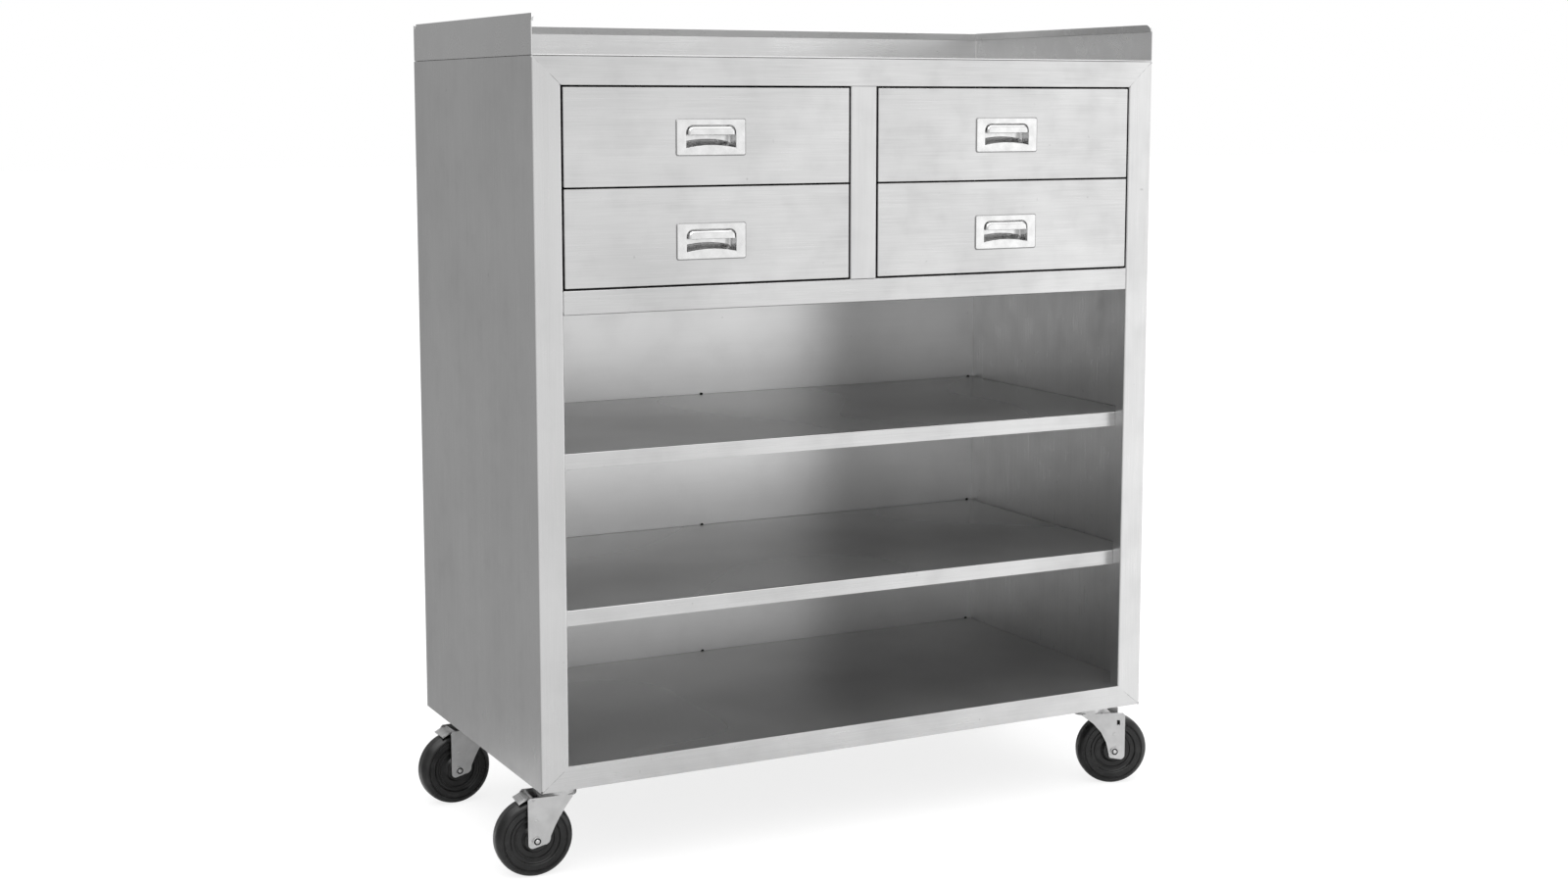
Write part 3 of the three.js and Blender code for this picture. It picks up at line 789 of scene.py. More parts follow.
    def repeat(self, name: str, places: Sequence[Matrix]) -> "Workpiece":
        """Makes one piece of copies at several places, and scraps the pattern.

        Args:
            name: the name that the whole gets.
            places: how each copy is moved.

        Returns:
            The copies as one piece.
        """
        copies = [self.copy(f"{name}_{number}", place) for number, place in enumerate(places)]
        self.scrap()
        return copies[0].join(copies[1:], name)

    def scrap(self) -> None:
        """Takes a pattern off the bench after its copies are made."""
        bpy.data.objects.remove(self.thing)


@dataclass
class FoldedSheet:
    """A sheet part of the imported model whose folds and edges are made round.

    Folds are the edges between wide faces. Faces narrower than thin are the sheet's own thickness, and
    their edges only get the small round of a dressed cut. The folds of a sheet are given in this order:
    radius of a fold, radius of an edge, and thin.
    """

    node: str
    fold_radius: float = 1.8
    edge_radius: float = 0.3
    thin: float = 2.2
    fold_steps: int = 3
    leave_mitres: bool = False
    flat_angle: float = 28.0
    slant_share: float = 0.3

    def _radius(self, edge: bmesh.types.BMEdge) -> float:
        """Chooses how round an edge gets.

        Args:
            edge: an edge of the merged solid.

        Returns:
            The radius in millimetres, or 0 where the edge stays sharp.
        """
        if len(edge.link_faces) != 2 or edge.calc_face_angle(0) < math.radians(self.flat_angle):
            return 0
        run = (edge.verts[1].co - edge.verts[0].co).normalized()
        if self.leave_mitres and min(abs(run.x), abs(run.z)) > self.slant_share:
            return 0
        widths = [2 * face.calc_area() / face.calc_perimeter() for face in edge.link_faces]
        if min(widths) < self.thin * MM:
            return self.edge_radius
        if edge.calc_face_angle_signed(0) < 0:
            return max(self.fold_radius - self.thin / 2, self.edge_radius)
        return self.fold_radius

    def build(self, name: str) -> Workpiece:
        """Makes the piece.

        Args:
            name: the piece's name.

        Returns:
            The piece, not yet fixed to its body.
        """
        piece = Workpiece.from_node(name, self.node)
        widest = max(self.fold_radius, self.edge_radius)
        mesh = bmesh.new()
        mesh.from_mesh(piece.thing.data)
        weight = mesh.edges.layers.float.new("bevel_weight_edge")
        for edge in mesh.edges:
            edge[weight] = self._radius(edge) / widest
        mesh.to_mesh(piece.thing.data)
        mesh.free()
        return piece.modify(
            "BEVEL", width=widest * MM, segments=self.fold_steps, limit_method="WEIGHT",
            miter_outer="MITER_ARC", use_clamp_overlap=True,
        ).smooth()


class SheetRack:
    """Keeps one pattern of each kind of sheet, so that each kind is folded once and then copied."""

    def __init__(self) -> None:
        """Starts with an empty rack."""
        self._patterns: dict[str, tuple[Workpiece, str]] = {}

    def take(self, kind: str, sheet: FoldedSheet, name: str, material: Material) -> Workpiece:
        """Takes a copy of a kind of sheet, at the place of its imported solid.

        Args:
            kind: what sheets of the same shape have in common.
            sheet: how the sheet is folded.
            name: the piece's name.
            material: the material that the kind has.

        Returns:
            The piece.
        """
        if kind not in self._patterns:
            self._patterns[kind] = (sheet.build(f"{name}_pattern").dress(material), sheet.node)
        pattern, first = self._patterns[kind]
        return pattern.copy(name, Matrix.Translation(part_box(sheet.node)[0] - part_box(first)[0]))

    def clear(self) -> None:
        """Scraps the patterns."""
        for pattern, _ in self._patterns.values():
            pattern.scrap()


@dataclass
class Carcass:
    """The still sheetwork: side panels folded round to the front, rails, shelves, back and worktop."""

    palette: Palette
    wrap_radius: float = 2.0
    wrap_sheet: float = 1.2
    wrap_steps: int = 4
    worktop_folds: Triple = (1.6, 0.6, 4.0)
    worktop_wall: float = 1.5
    weld_width: float = 3.2
    weld_round: float = 0.5
    weld_steps: int = 2
    weld_depth: float = 1.2
    weld_recess: float = 0.01
    weld_gap: float = 0.4
    tack_radius: float = 2.4
    tack_height: float = 1.6
    tack_sides: int = 16
    tack_steps: int = 3
    tack_shares: Triple = (-0.96, -0.05, 0.985)
    bead_radius: float = 1.6
    bead_sides: int = 12
    bead_steps: int = 2
    bead_crease: float = 60.0

    def _side(self, side: str) -> None:
        """Models a side panel, its stile and the stile's return as one sheet folded twice.

        Args:
            side: "left" or "right".
        """
        panel_low, panel_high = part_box(f"side_panel_{side}")
        stile_low, stile_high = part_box(f"stile_{side}")
        outside, inside = panel_low.x, stile_high.x
        if side == "right":
            outside, inside = panel_high.x, stile_low.x
        front, back = stile_low.y, panel_high.y
        low, high = panel_low.z, panel_high.z
        centre = Vector((outside, (front + back) / 2, (low + high) / 2))
        piece = Workpiece.start(
            f"side_wrap_{side}", bpy.ops.mesh.primitive_plane_add, (high - low, back - front, 1), size=1,
            location=centre, rotation=(0, QUARTER, 0),
        )

        def at_edge(point: Vector) -> bool:
            """Tells whether a point is on the stile's inner edge."""
            return abs(point.x - inside) < NEAR and abs(point.y - front) < NEAR

        with piece.shaping():
            piece.extrude((inside - outside, 0, 0), lambda middle, _: middle.y < front + NEAR)
            piece.shift(
                (0, 0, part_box("top_rail")[0].z - high),
                lambda point, _: at_edge(point) and point.z > centre.z)
            piece.shift(
                (0, 0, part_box("bottom_shelf")[1].z - low),
                lambda point, _: at_edge(point) and point.z < centre.z)
            piece.extrude((0, stile_high.y - front, 0), lambda middle, _: at_edge(middle))
            piece.round_off(self.wrap_radius, self.wrap_steps, lambda middle, run: (
                abs(run.z) > ALONG and abs(middle.y - front) < NEAR))
            piece.face_outwards(Vector((outside, 0, 0)).normalized())
        piece.thicken(self.wrap_sheet).smooth().dress(self.palette.upright)
        piece.fix(CABINET, Slot.BRUSHED, f"side_panel_{side}", f"stile_{side}")

    def _corner_welds(self) -> None:
        """Models a millimetre of the flush weld in a mitre, and draws it out in all four mitres."""
        stile_low, stile_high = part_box("stile_left")
        rail_low, rail_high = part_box("top_rail")
        foot_low, foot_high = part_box("bottom_shelf")
        width = self.weld_width / 2 * MM
        front = stile_low.y + self.weld_recess * MM
        back = front + self.weld_depth * MM
        pattern = Workpiece.from_box("corner_weld", (-MM / 2, front, -width), (MM / 2, back, width))
        with pattern.shaping():
            pattern.round_off(self.weld_round, self.weld_steps, lambda middle, run: (
                abs(run.x) > ALONG and middle.y < (front + back) / 2))
        pattern.smooth().dress(self.palette.weld)
        for end, tip, root in (("top", rail_high.z, rail_low.z), ("bottom", foot_low.z, foot_high.z)):
            for side, sign in zip(SIDES, (1, -1)):
                outer = Vector((stile_low.x * sign, 0, tip))
                inner = Vector((stile_high.x * sign, 0, root))
                run = outer - inner
                stretch = Matrix.Scale(run.length / MM - 2 * self.weld_gap, ROWS, Vector((1, 0, 0)))
                tilt = Matrix.Rotation(math.atan2(-run.z, run.x), ROWS, "Y")
                place = Matrix.Translation((outer + inner) / 2) @ tilt @ stretch
                pattern.copy(f"corner_weld_{end}_{side}", place).fix(CABINET, Slot.BRUSHED)
        pattern.scrap()

    def _tack_welds(self) -> None:
        """Models a small dark weld bead and sets a row of it along the back edge of each shelf."""
        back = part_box("back_panel")[0].y / MM
        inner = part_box("side_panel_right")[0].x - self.tack_radius * MM
        bead = Workpiece.from_disc(
            "tack", self.tack_radius, back - self.tack_height, back, Axis.Y, self.tack_sides)
        bead.ease_edges(self.tack_height / 2, self.tack_steps).smooth(self.bead_crease)
        bead.dress(self.palette.scorched_and_shade)
        row = bead.repeat(
            "tack_row", [Matrix.Translation((share * inner, 0, 0)) for share in self.tack_shares])
        for node in ("shelf_upper", "shelf_lower", "bottom_shelf"):
            top = Matrix.Translation((0, 0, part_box(node)[1].z))
            row.copy(f"{node}_tack_welds", top).fix(CABINET, Slot.INSIDE)
        row.scrap()

    def _corner_beads(self) -> None:
        """Models the weld bead up each inner corner of the worktop's upstands."""
        low, high = (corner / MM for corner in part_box("worktop"))
        wall = self.worktop_wall
        bead = Workpiece.from_disc(
            "bead", self.bead_radius, low.z + wall, high.z - wall, Axis.Z, self.bead_sides)
        bead.ease_edges(self.bead_radius / 2, self.bead_steps).smooth(self.bead_crease)
        bead.dress(self.palette.pressed)
        places = [
            Matrix.Translation(Vector((sign * (high.x - wall), high.y - wall, 0)) * MM) for sign in (1, -1)]
        bead.repeat("worktop_corner_beads", places).fix(CABINET, Slot.BRUSHED)

    def build(self) -> None:
        """Makes the sheetwork and dresses the solids that stay."""
        palette = self.palette
        across, top, under = palette.across, palette.shaded_shelf_top, palette.shaded_underside
        for side in SIDES:
            self._side(side)
        self._corner_welds()
        self._tack_welds()
        self._corner_beads()
        for node, material in {
            "top_rail": across, "mid_rail": across, "stile_centre": palette.upright,
        }.items():
            piece = FoldedSheet(node, leave_mitres=True).build(f"{node}_folded").dress(material)
            piece.fix(CABINET, Slot.BRUSHED, node)
        for node in ("bottom_shelf", "shelf_upper", "shelf_lower"):
            piece = FoldedSheet(node, leave_mitres=True).build(f"{node}_folded").dress(across, top, under)
            # Shelf tops take the darker mill copy, and undersides a darker one still: painted shade.
            piece.paint(1, lambda _, normal: normal.z > ALONG)
            piece.paint(2, lambda _, normal: normal.z < -ALONG)
            piece.fix(CABINET, Slot.BRUSHED, node)
        piece = FoldedSheet("worktop", *self.worktop_folds).build("worktop_folded")
        # The worktop takes the lighter brushed copy: painted light.
        piece.dress(palette.bright, top)
        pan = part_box("worktop")[0].z + 2 * self.worktop_wall * MM
        # The pan's top inside the upstands takes the darker shelf-top copy: painted shade.
        piece.paint(1, lambda middle, normal: normal.z > ALONG and middle.z < pan)
        piece.fix(CABINET, Slot.BRUSHED, "worktop")
        # The back panel takes the lighter, glossier lining copy: painted light in the bays.
        for node, material in {
            "back_panel": palette.lit_lining, "drawer_deck": palette.mill, "drawer_divider": palette.mill,
        }.items():
            solid = Workpiece(frame["nodes"][node])
            solid.thing.data.materials.clear()
            solid.dress(material)


@dataclass
class Pull:
    """A recessed pull: the bezel plate with its scooped cup, and the hood welded in over its upper half.

    It is modelled about the middle of the plate's front face, which looks along -Y.
    """

    palette: Palette
    node: str = "drawer_upper_left_pull"
    sheet: float = 0.6
    bulge: float = 2.7
    mouth_width: float = 67.5
    mouth_top: float = 14.7
    mouth_bottom: float = -13.3
    mouth_radius: float = 9.0
    mouth_steps: int = 8
    arch: float = 3.5
    columns: int = 14
    plate_radius: float = 3.0
    plate_steps: int = 4
    plate_spare: float = 1.0
    rim_depth: float = 0.9
    rim_width: float = 1.3
    rim_round: float = 0.35
    rim_steps: int = 2
    lip_round: float = 0.9
    lip_steps: int = 3
    scoop: float = 5.0
    cup_round: float = 3.0
    cup_steps: int = 4
    hood_foot: float = 3.0
    hood_sheet: float = 0.8
    hood_gap: float = 1.7
    hood_round: float = 3.3
    hood_steps: int = 6
    hood_curl: float = 1.2
    hood_drop: float = 0.4
    crease: float = 40.0

    def place(self, node: str) -> Vector:
        """Gives the middle of the front face of a pull's plate."""
        low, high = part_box(node)
        return Vector(((low.x + high.x) / 2, low.y + self.bulge * MM, (low.z + high.z) / 2))

    def _cup(self, size: Vector) -> Workpiece:
        """Models the cup: round at the top, with an arched lower lip and a floor that climbs to the back.

        Args:
            size: size of the pull's solid, in metres.

        Returns:
            The cup with its plate.
        """
        depth = size.y - (self.bulge + self.sheet) * MM
        half, bottom, top = self.mouth_width / 2 * MM, self.mouth_bottom * MM, self.mouth_top * MM
        piece = Workpiece.from_box("pull_cup", (-half, 0, bottom), (half, depth, top))
        with piece.shaping():
            piece.round_off(self.mouth_radius, self.mouth_steps, lambda middle, run: (
                abs(run.y) > ALONG and middle.z > 0))
            piece.pick(Part.EDGES, lambda middle, run: abs(run.x) > ALONG and middle.z < bottom + NEAR)
            bpy.ops.mesh.subdivide(number_cuts=self.columns - 1)
            for column in range(1, self.columns):
                share = 2 * column / self.columns - 1
                piece.shift((0, 0, self.arch * (1 - share ** 2) * MM), lambda point, _: (
                    abs(point.x - share * half) < NEAR and point.z < bottom + NEAR))
            crown = bottom + self.arch * MM
            piece.shift((0, 0, self.scoop * MM), lambda point, _: (
                point.y > depth - NEAR and point.z < crown + NEAR))
            piece.cut_away(lambda _, normal: normal.y < -ALONG)
            self._plate(piece, size.x, size.z)
            piece.round_off(self.lip_round, self.lip_steps, lambda middle, _: (
                abs(middle.y) < NEAR and abs(middle.x) < half + NEAR
                and bottom - NEAR < middle.z < top + NEAR))
            piece.round_off(self.cup_round, self.cup_steps, lambda middle, run: (
                middle.y > depth - NEAR and abs(run.y) < ALONG))
            piece.face_outwards(Vector((0, -1, 0)))
        return piece.thicken(self.sheet)

    def _plate(self, piece: Workpiece, width: float, height: float) -> None:
        """Adds the bezel plate round the mouth of the cup, with its rim turned back.

        Args:
            piece: the cup, in edit mode and open in front.
            width: width of the plate in metres.
            height: height of the plate in metres.
        """
        bpy.ops.mesh.select_all(action="DESELECT")
        bpy.ops.mesh.select_mode(type="VERT")
        bpy.ops.mesh.primitive_plane_add(size=1, rotation=(QUARTER, 0, 0))
        rim = 2 * self.rim_width * MM
        inner_width, inner_height = width - rim, height - rim
        bpy.ops.transform.resize(value=(inner_width, 1, inner_height))
        bpy.ops.mesh.bevel(offset=self.plate_radius * MM, segments=self.plate_steps, affect="VERTICES")
        piece.cut_away(lambda middle, _: abs(middle.y) < NEAR, "ONLY_FACE")
        piece.pick(Part.EDGES, lambda middle, run: abs(middle.y) < NEAR and abs(run.y) < ALONG)
        bpy.ops.mesh.bridge_edge_loops()
        corner = (self.plate_radius + self.plate_spare) * MM
        across, up = width / 2 - corner, height / 2 - corner

        def on_rim(middle: Vector, _: Vector) -> bool:
            """Tells whether an edge is on the plate's outline."""
            return abs(middle.y) < NEAR and (abs(middle.x) > across or abs(middle.z) > up)

        piece.extrude((0, self.rim_depth * MM, 0), on_rim)
        bpy.ops.transform.resize(
            value=(width / inner_width, 1, height / inner_height), center_override=(0, 0, 0))
        piece.round_off(self.rim_round, self.rim_steps, on_rim)

    def _hood(self, size: Vector) -> Workpiece:
        """Models the hood: a pillow-shaped cover that starts in the cup and stands out over its mouth.

        Args:
            size: size of the pull's solid, in metres.

        Returns:
            The hood.
        """
        depth = size.y - (self.bulge + self.sheet + self.cup_round) * MM
        half = (self.mouth_width / 2 - self.hood_gap) * MM
        foot, top, crest = self.hood_foot * MM, (self.mouth_top - self.hood_gap) * MM, -self.bulge * MM
        piece = Workpiece.from_box("pull_hood", (-half, crest, foot), (half, depth, top))
        with piece.shaping():
            piece.round_off(self.mouth_radius - self.hood_gap, self.mouth_steps, lambda middle, run: (
                abs(run.y) > ALONG and middle.z > foot + NEAR))
            piece.cut_away(lambda _, normal: normal.z < -ALONG or normal.y > ALONG)
            piece.round_off(self.hood_round, self.hood_steps, lambda middle, _: (
                middle.y < crest + NEAR and middle.z > foot + NEAR))
            piece.extrude((0, self.hood_curl * MM, -self.hood_drop * MM), lambda middle, run: (
                middle.y < crest + NEAR and middle.z < foot + NEAR and abs(run.x) > ALONG))
        return piece.thicken(self.hood_sheet)

    def model(self) -> Workpiece:
        """Models the pull.

        Returns:
            The pull as a pattern.
        """
        low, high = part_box(self.node)
        size = high - low
        across, up = size.x / 2 - self.rim_width * MM, size.z / 2 - self.rim_width * MM
        pull = self._cup(size).join([self._hood(size)], "pull_pattern").smooth(self.crease)
        # The band round the plate's outline takes the darker mill finish: painted shade round the plate's
        # edge.
        pull.dress(self.palette.pressed, self.palette.mill)
        return pull.paint(1, lambda middle, _: abs(middle.x) > across or abs(middle.z) > up)


@dataclass
class Drawers:
    """Four drawers: pan-shaped fronts, boxes, pressed pulls and the members of their slides."""

    palette: Palette
    front_fold: float = 1.2
    box_fold: float = 1.5
    slide_fold: float = 1.4
    slide_thin: float = 1.6
    slide_reach: float = 8.8
    screw_radius: float = 3.6
    screw_height: float = 1.5
    screw_sides: int = 20
    screw_drive: Profile = ((2.7, 1.5), (1.5, 1.5), (1.05, 0.75))
    screw_ease: float = 0.3
    screw_steps: int = 2
    screw_crease: float = 40.0
    screw_shares: Triple = (-0.4, 0.0, 0.4)

    def _screw_row(self) -> Workpiece:
        """Models a low round screw head with a sunk drive, and repeats it along a slide.

        Returns:
            The row as a pattern, whose heads look along X and have their seats at the origin.
        """
        screw = Workpiece.from_disc(
            "screw", self.screw_radius, 0, self.screw_height, Axis.X, self.screw_sides)
        with screw.shaping():
            screw.turn(
                lambda _, normal: normal.x > ALONG, (self.screw_radius, self.screw_height),
                self.screw_drive)
        screw.ease_edges(self.screw_ease, self.screw_steps).smooth(self.screw_crease)
        screw.dress(self.palette.zinc)
        low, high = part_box("slide_upper_left_outer_cabinet")
        places = [Matrix.Translation((0, share * (high.y - low.y), 0)) for share in self.screw_shares]
        return screw.repeat("screw_row", places)

    def _slide(self, rack: SheetRack, row: Workpiece, node: str, faces_right: bool) -> None:
        """Makes one member of a slide with its screws in the channel.

        Args:
            rack: the rack that the sheets come from.
            row: the pattern of a row of screws.
            node: the member's solid.
            faces_right: whether the channel is open to the right.
        """
        body = frame["nodes"][node]["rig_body"]
        kind = node.replace("upper", "any").replace("lower", "any")
        sheet = FoldedSheet(node, fold_radius=self.slide_fold, thin=self.slide_thin)
        rack.take(kind, sheet, f"{node}_folded", self.palette.zinc).fix(body, Slot.ZINC, node)
        low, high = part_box(node)
        reach = self.slide_reach * MM
        seat = high.x - reach if faces_right else low.x + reach
        turn = Matrix.Rotation(0 if faces_right else math.pi, ROWS, "Z")
        place = Matrix.Translation((seat, (low.y + high.y) / 2, (low.z + high.z) / 2)) @ turn
        row.copy(f"{node}_screws", place).fix(body, Slot.ZINC)

    def build(self) -> None:
        """Makes the four drawers."""
        rack, pull = SheetRack(), Pull(self.palette)
        pull_pattern, screw_row = pull.model(), self._screw_row()
        for row, column in ((row, column) for row in ("upper", "lower") for column in SIDES):
            name = f"drawer_{row}_{column}"
            front = FoldedSheet(f"{name}_front", self.front_fold)
            piece = rack.take(f"front_{row}", front, f"{name}_front_folded", self.palette.across)
            piece.fix(name, Slot.BRUSHED, f"{name}_front")
            box = FoldedSheet(f"{name}_box", self.box_fold)
            piece = rack.take("box", box, f"{name}_box_folded", self.palette.mill)
            piece.fix(name, Slot.INSIDE, f"{name}_box")
            place = Matrix.Translation(pull.place(f"{name}_pull"))
            pull_pattern.copy(f"{name}_pull_pressed", place).fix(name, Slot.PRESSED, f"{name}_pull")
            for side in ("outer", "inner"):
                is_left = (side == "outer") == (column == "left")
                for member in ("cabinet", "drawer"):
                    node = f"slide_{row}_{column}_{side}_{member}"
                    self._slide(rack, screw_row, node, is_left == (member == "cabinet"))
        rack.clear()
        pull_pattern.scrap()
        screw_row.scrap()


@dataclass
class Castors:
    """Four swivel castors: plate, bearing, fork, wheel and axle bolt, and a brake pedal on the left ones.

    Their turning pieces are modelled with the axle along Y and the wheel's middle at the origin. Steps,
    rings and the hub are the radius and height of each ring of a turned face, and the shoulder is how far
    each ring is below the tread, and its height. A share of a height is how far its edges are eased, and
    the groove's is how far up it is painted dark, as painted shade in the groove round the axle's head.
    """

    palette: Palette
    wheel_sides: int = 96
    wheel_crease: float = 24.0
    tread_half: float = 4.0
    shoulder: Profile = (
        (0.15, 6.0), (0.6, 8.0), (1.5, 10.0), (2.8, 11.8), (4.4, 13.3), (6.2, 14.4), (7.6, 14.9))
    face_rings: Profile = (
        (41.8, 14.9), (41.2, 14.0), (40.4, 14.0), (39.8, 14.9), (33.2, 14.8), (32.5, 14.3), (31.7, 12.8),
        (30.8, 12.2), (27.3, 12.1), (26.6, 13.1), (25.8, 13.4), (25.0, 13.1), (24.3, 11.9), (19.2, 11.7),
        (17.8, 12.1), (16.5, 13.6))
    hub: Profile = ((15.0, 15.4), (14.8, 17.7), (14.1, 18.3), (6.6, 18.3), (6.2, 17.3), (4.4, 17.3))
    shaft_radius: float = 4.0
    shaft_sides: int = 24
    head_radius: float = 5.6
    head_length: float = 2.4
    head_sides: int = 40
    head_steps: Profile = ((4.6, 2.4), (4.4, 0.48), (2.8, 0.48), (2.7, 2.95), (1.8, 3.5))
    groove_shade_share: float = 0.7
    hexagon: int = 6
    nut_radius: float = 7.4
    nut_length: float = 3.5
    nut_steps: Profile = ((5.9, 3.5), (5.1, 3.1))
    nut_ease: float = 0.4
    nut_ease_steps: int = 2
    fork_half: float = 21.5
    fork_folds: Triple = (1.2, 0.6, 3.0)
    clearance: float = 0.3
    dimple_radius: float = 2.4
    dimple_height: float = 0.7
    dimple_root: float = 1.0
    dimple_share: float = 0.9
    dimple_above_axle: float = 25.0
    plate_sheet: float = 3.0
    plate_folds: Triple = (0.8, 0.5, 3.5)
    bolt_inset: float = 9.0
    bolt_radius: float = 6.2
    bolt_height: float = 4.5
    bolt_steps: Profile = ((5.0, 4.8),)
    bolt_ease: float = 0.3
    bolt_crease: float = 30.0
    washer_radius: float = 8.0
    washer_height: float = 1.2
    ring_radius: float = 23.4
    ring_width: float = 3.5
    ring_height: float = 2.6
    ring_lap: float = 0.9
    ring_share: float = 0.4
    ring_sides: int = 64
    pedal_folds: Triple = (0.8, 0.4, 2.6)
    rib_count: int = 4
    rib_pitch: float = 2.5
    rib_width: float = 1.4
    rib_height: float = 0.9
    rib_half: float = 13.0
    rib_share: float = 0.4
    soft_steps: int = 3
    soft_crease: float = 40.0
    tread_slope: float = 27.0
    tread_start: Pair = (-9.6, 0.3)

    def _joint(self, castor: str, kind: str) -> dict:
        """Gives one of a castor's joints."""
        return next(joint for joint in frame["joints"] if joint["name"] == f"{castor}_{kind}")

    def _place(self, castor: str, kind: str = "wheel_spin") -> Matrix:
        """Gives the place of a joint, turned so that its axle runs along local Y.

        Args:
            castor: start of the castor's names.
            kind: "wheel_spin" or "brake_pivot".

        Returns:
            The place.
        """
        joint = self._joint(castor, kind)
        axle = Vector(joint["axis"])
        turn = Matrix.Rotation(math.atan2(-axle.x, axle.y), ROWS, "Z")
        return Matrix.Translation(Vector(joint["pos_m"])) @ turn

    def _wheel(self) -> Workpiece:
        """Models the solid wheel: crowned tread, round shoulders, turned rings and a bored hub.

        Returns:
            The wheel as a pattern.
        """
        low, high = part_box("castor_front_left_wheel")
        radius, half = (high.z - low.z) / 2 / MM, self.tread_half
        piece = Workpiece.from_disc("wheel_pattern", radius, -half, half, Axis.Y, self.wheel_sides)
        profile = [(radius - drop, width) for drop, width in self.shoulder] + [*self.face_rings, *self.hub]
        with piece.shaping():
            piece.turn(lambda _, normal: abs(normal.y) > ALONG, (radius, half), profile)
            bpy.ops.mesh.bridge_edge_loops()
        return piece.smooth(self.wheel_crease).dress(self.palette.rubber)

    def _axle(self) -> Workpiece:
        """Models the axle: a riveted head with its sunk ring painted dark as shade, the shaft, and a hexagon
        nut behind.

        Returns:
            The axle as a pattern.
        """
        seat, legs = self.fork_half + self.clearance, self.fork_half
        shaft = Workpiece.from_disc("axle", self.shaft_radius, -seat, seat, Axis.Y, self.shaft_sides)
        head = Workpiece.from_disc(
            "head", self.head_radius, -(seat + self.head_length), -seat, Axis.Y, self.head_sides)
        with head.shaping():
            head.turn(
                lambda _, normal: normal.y < -ALONG, (self.head_radius, self.head_length),
                self.head_steps)
        nut = Workpiece.from_disc(
            "nut", self.nut_radius, seat, seat + self.nut_length, Axis.Y, self.hexagon)
        with nut.shaping():
            nut.turn(
                lambda _, normal: normal.y > ALONG, (self.nut_radius, self.nut_length), self.nut_steps)
        nut.ease_edges(self.nut_ease, self.nut_ease_steps)
        dimple = Workpiece.from_disc(
            "dimple", self.dimple_radius, -(legs + self.dimple_height), -(legs - self.dimple_root), Axis.Y,
            self.shaft_sides,
        )
        dimple.ease_edges(self.dimple_height * self.dimple_share, self.soft_steps)
        dimple.move(Matrix.Translation((0, 0, self.dimple_above_axle * MM)))
        shaft.join([head, nut, dimple], "axle_pattern").smooth(self.bolt_crease)
        shaft.dress(self.palette.zinc, self.palette.scorched_and_shade)
        (outer, rim), *_, (inner, _), _ = self.head_steps
        # The sunk ring round the head takes the dark material: painted shade in the groove.
        return shaft.paint(1, lambda middle, _: (
            inner * MM < math.hypot(middle.x, middle.z) < outer * MM
            and -(seat + rim * self.groove_shade_share) * MM < middle.y < -seat * MM
        ))

    def _fork(self, side: str) -> Workpiece:
        """Takes the fork of one side to the bench: braked on the left, plain and slotted on the right.

        Args:
            side: "left" or "right".

        Returns:
            The fork as a pattern.
        """
        castor = f"castor_front_{side}"
        fork = FoldedSheet(f"{castor}_fork", *self.fork_folds).build("fork_pattern")
        return fork.move(self._place(castor).inverted()).dress(self.palette.zinc)

    def _bolts(self) -> Workpiece:
        """Models a hexagon bolt with its washer, and repeats it under the corners of a mounting plate.

        Returns:
            The bolts as a pattern.
        """
        washer_foot = -self.washer_height
        bolt = Workpiece.from_disc(
            "bolt", self.bolt_radius, washer_foot - self.bolt_height, washer_foot, Axis.Z, self.hexagon)
        with bolt.shaping():
            bolt.turn(
                lambda _, normal: normal.z < -ALONG, (self.bolt_radius, self.bolt_height),
                self.bolt_steps)
        washer = Workpiece.from_disc(
            "washer", self.washer_radius, washer_foot, 0, Axis.Z, self.shaft_sides)
        bolt.join([washer], "bolt").ease_edges(self.bolt_ease).smooth(self.bolt_crease)
        bolt.dress(self.palette.zinc)
        low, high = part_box("castor_front_left_plate")
        inset, seat = self.bolt_inset * MM, high.z - self.plate_sheet * MM
        places = [
            Matrix.Translation((x, y, seat))
            for x in (low.x + inset, high.x - inset) for y in (low.y + inset, high.y - inset)]
        return bolt.repeat("bolts_pattern", places)

    def _dust_ring(self) -> Workpiece:
        """Models the rolled dust ring at the joint between the fork's head and the plate's cup.

        Returns:
            The ring as a pattern, about the Z axis.
        """
        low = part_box("castor_front_left_plate")[0].z / MM + self.ring_lap - self.ring_height / 2
        ring = Workpiece.from_disc(
            "dust_ring_pattern", self.ring_radius, low, low + self.ring_height, Axis.Z, self.ring_sides)
        with ring.shaping():
            ring.turn(
                lambda _, normal: abs(normal.z) > ALONG, (self.ring_radius, 0),
                [(self.ring_radius - self.ring_width, 0)])
            bpy.ops.mesh.bridge_edge_loops()
        ring.ease_edges(self.ring_height * self.ring_share, self.soft_steps).smooth(self.soft_crease)
        return ring.dress(self.palette.zinc)

    def _pedal_ribs(self) -> Workpiece:
        """Models the grip ribs pressed up across the sloping tread of a brake pedal.

        Returns:
            The ribs as a pattern, about the pedal's pivot.
        """
        slope = math.radians(self.tread_slope)
        half = Vector((self.rib_width / 2, self.rib_half, self.rib_height / 2)) * MM
        rib = Workpiece.from_box("rib", -half, half)
        rib.ease_edges(self.rib_height * self.rib_share, self.soft_steps).smooth(self.soft_crease)
        rib.dress(self.palette.zinc)
        start = Vector((self.tread_start[0], 0, self.tread_start[1]))
        down = Vector((-math.cos(slope), 0, -math.sin(slope)))
        tilt = Matrix.Rotation(-slope, ROWS, "Y")
        places = [
            Matrix.Translation((start + down * self.rib_pitch * number) * MM) @ tilt
            for number in range(self.rib_count)]
        return rib.repeat("pedal_ribs_pattern", places)

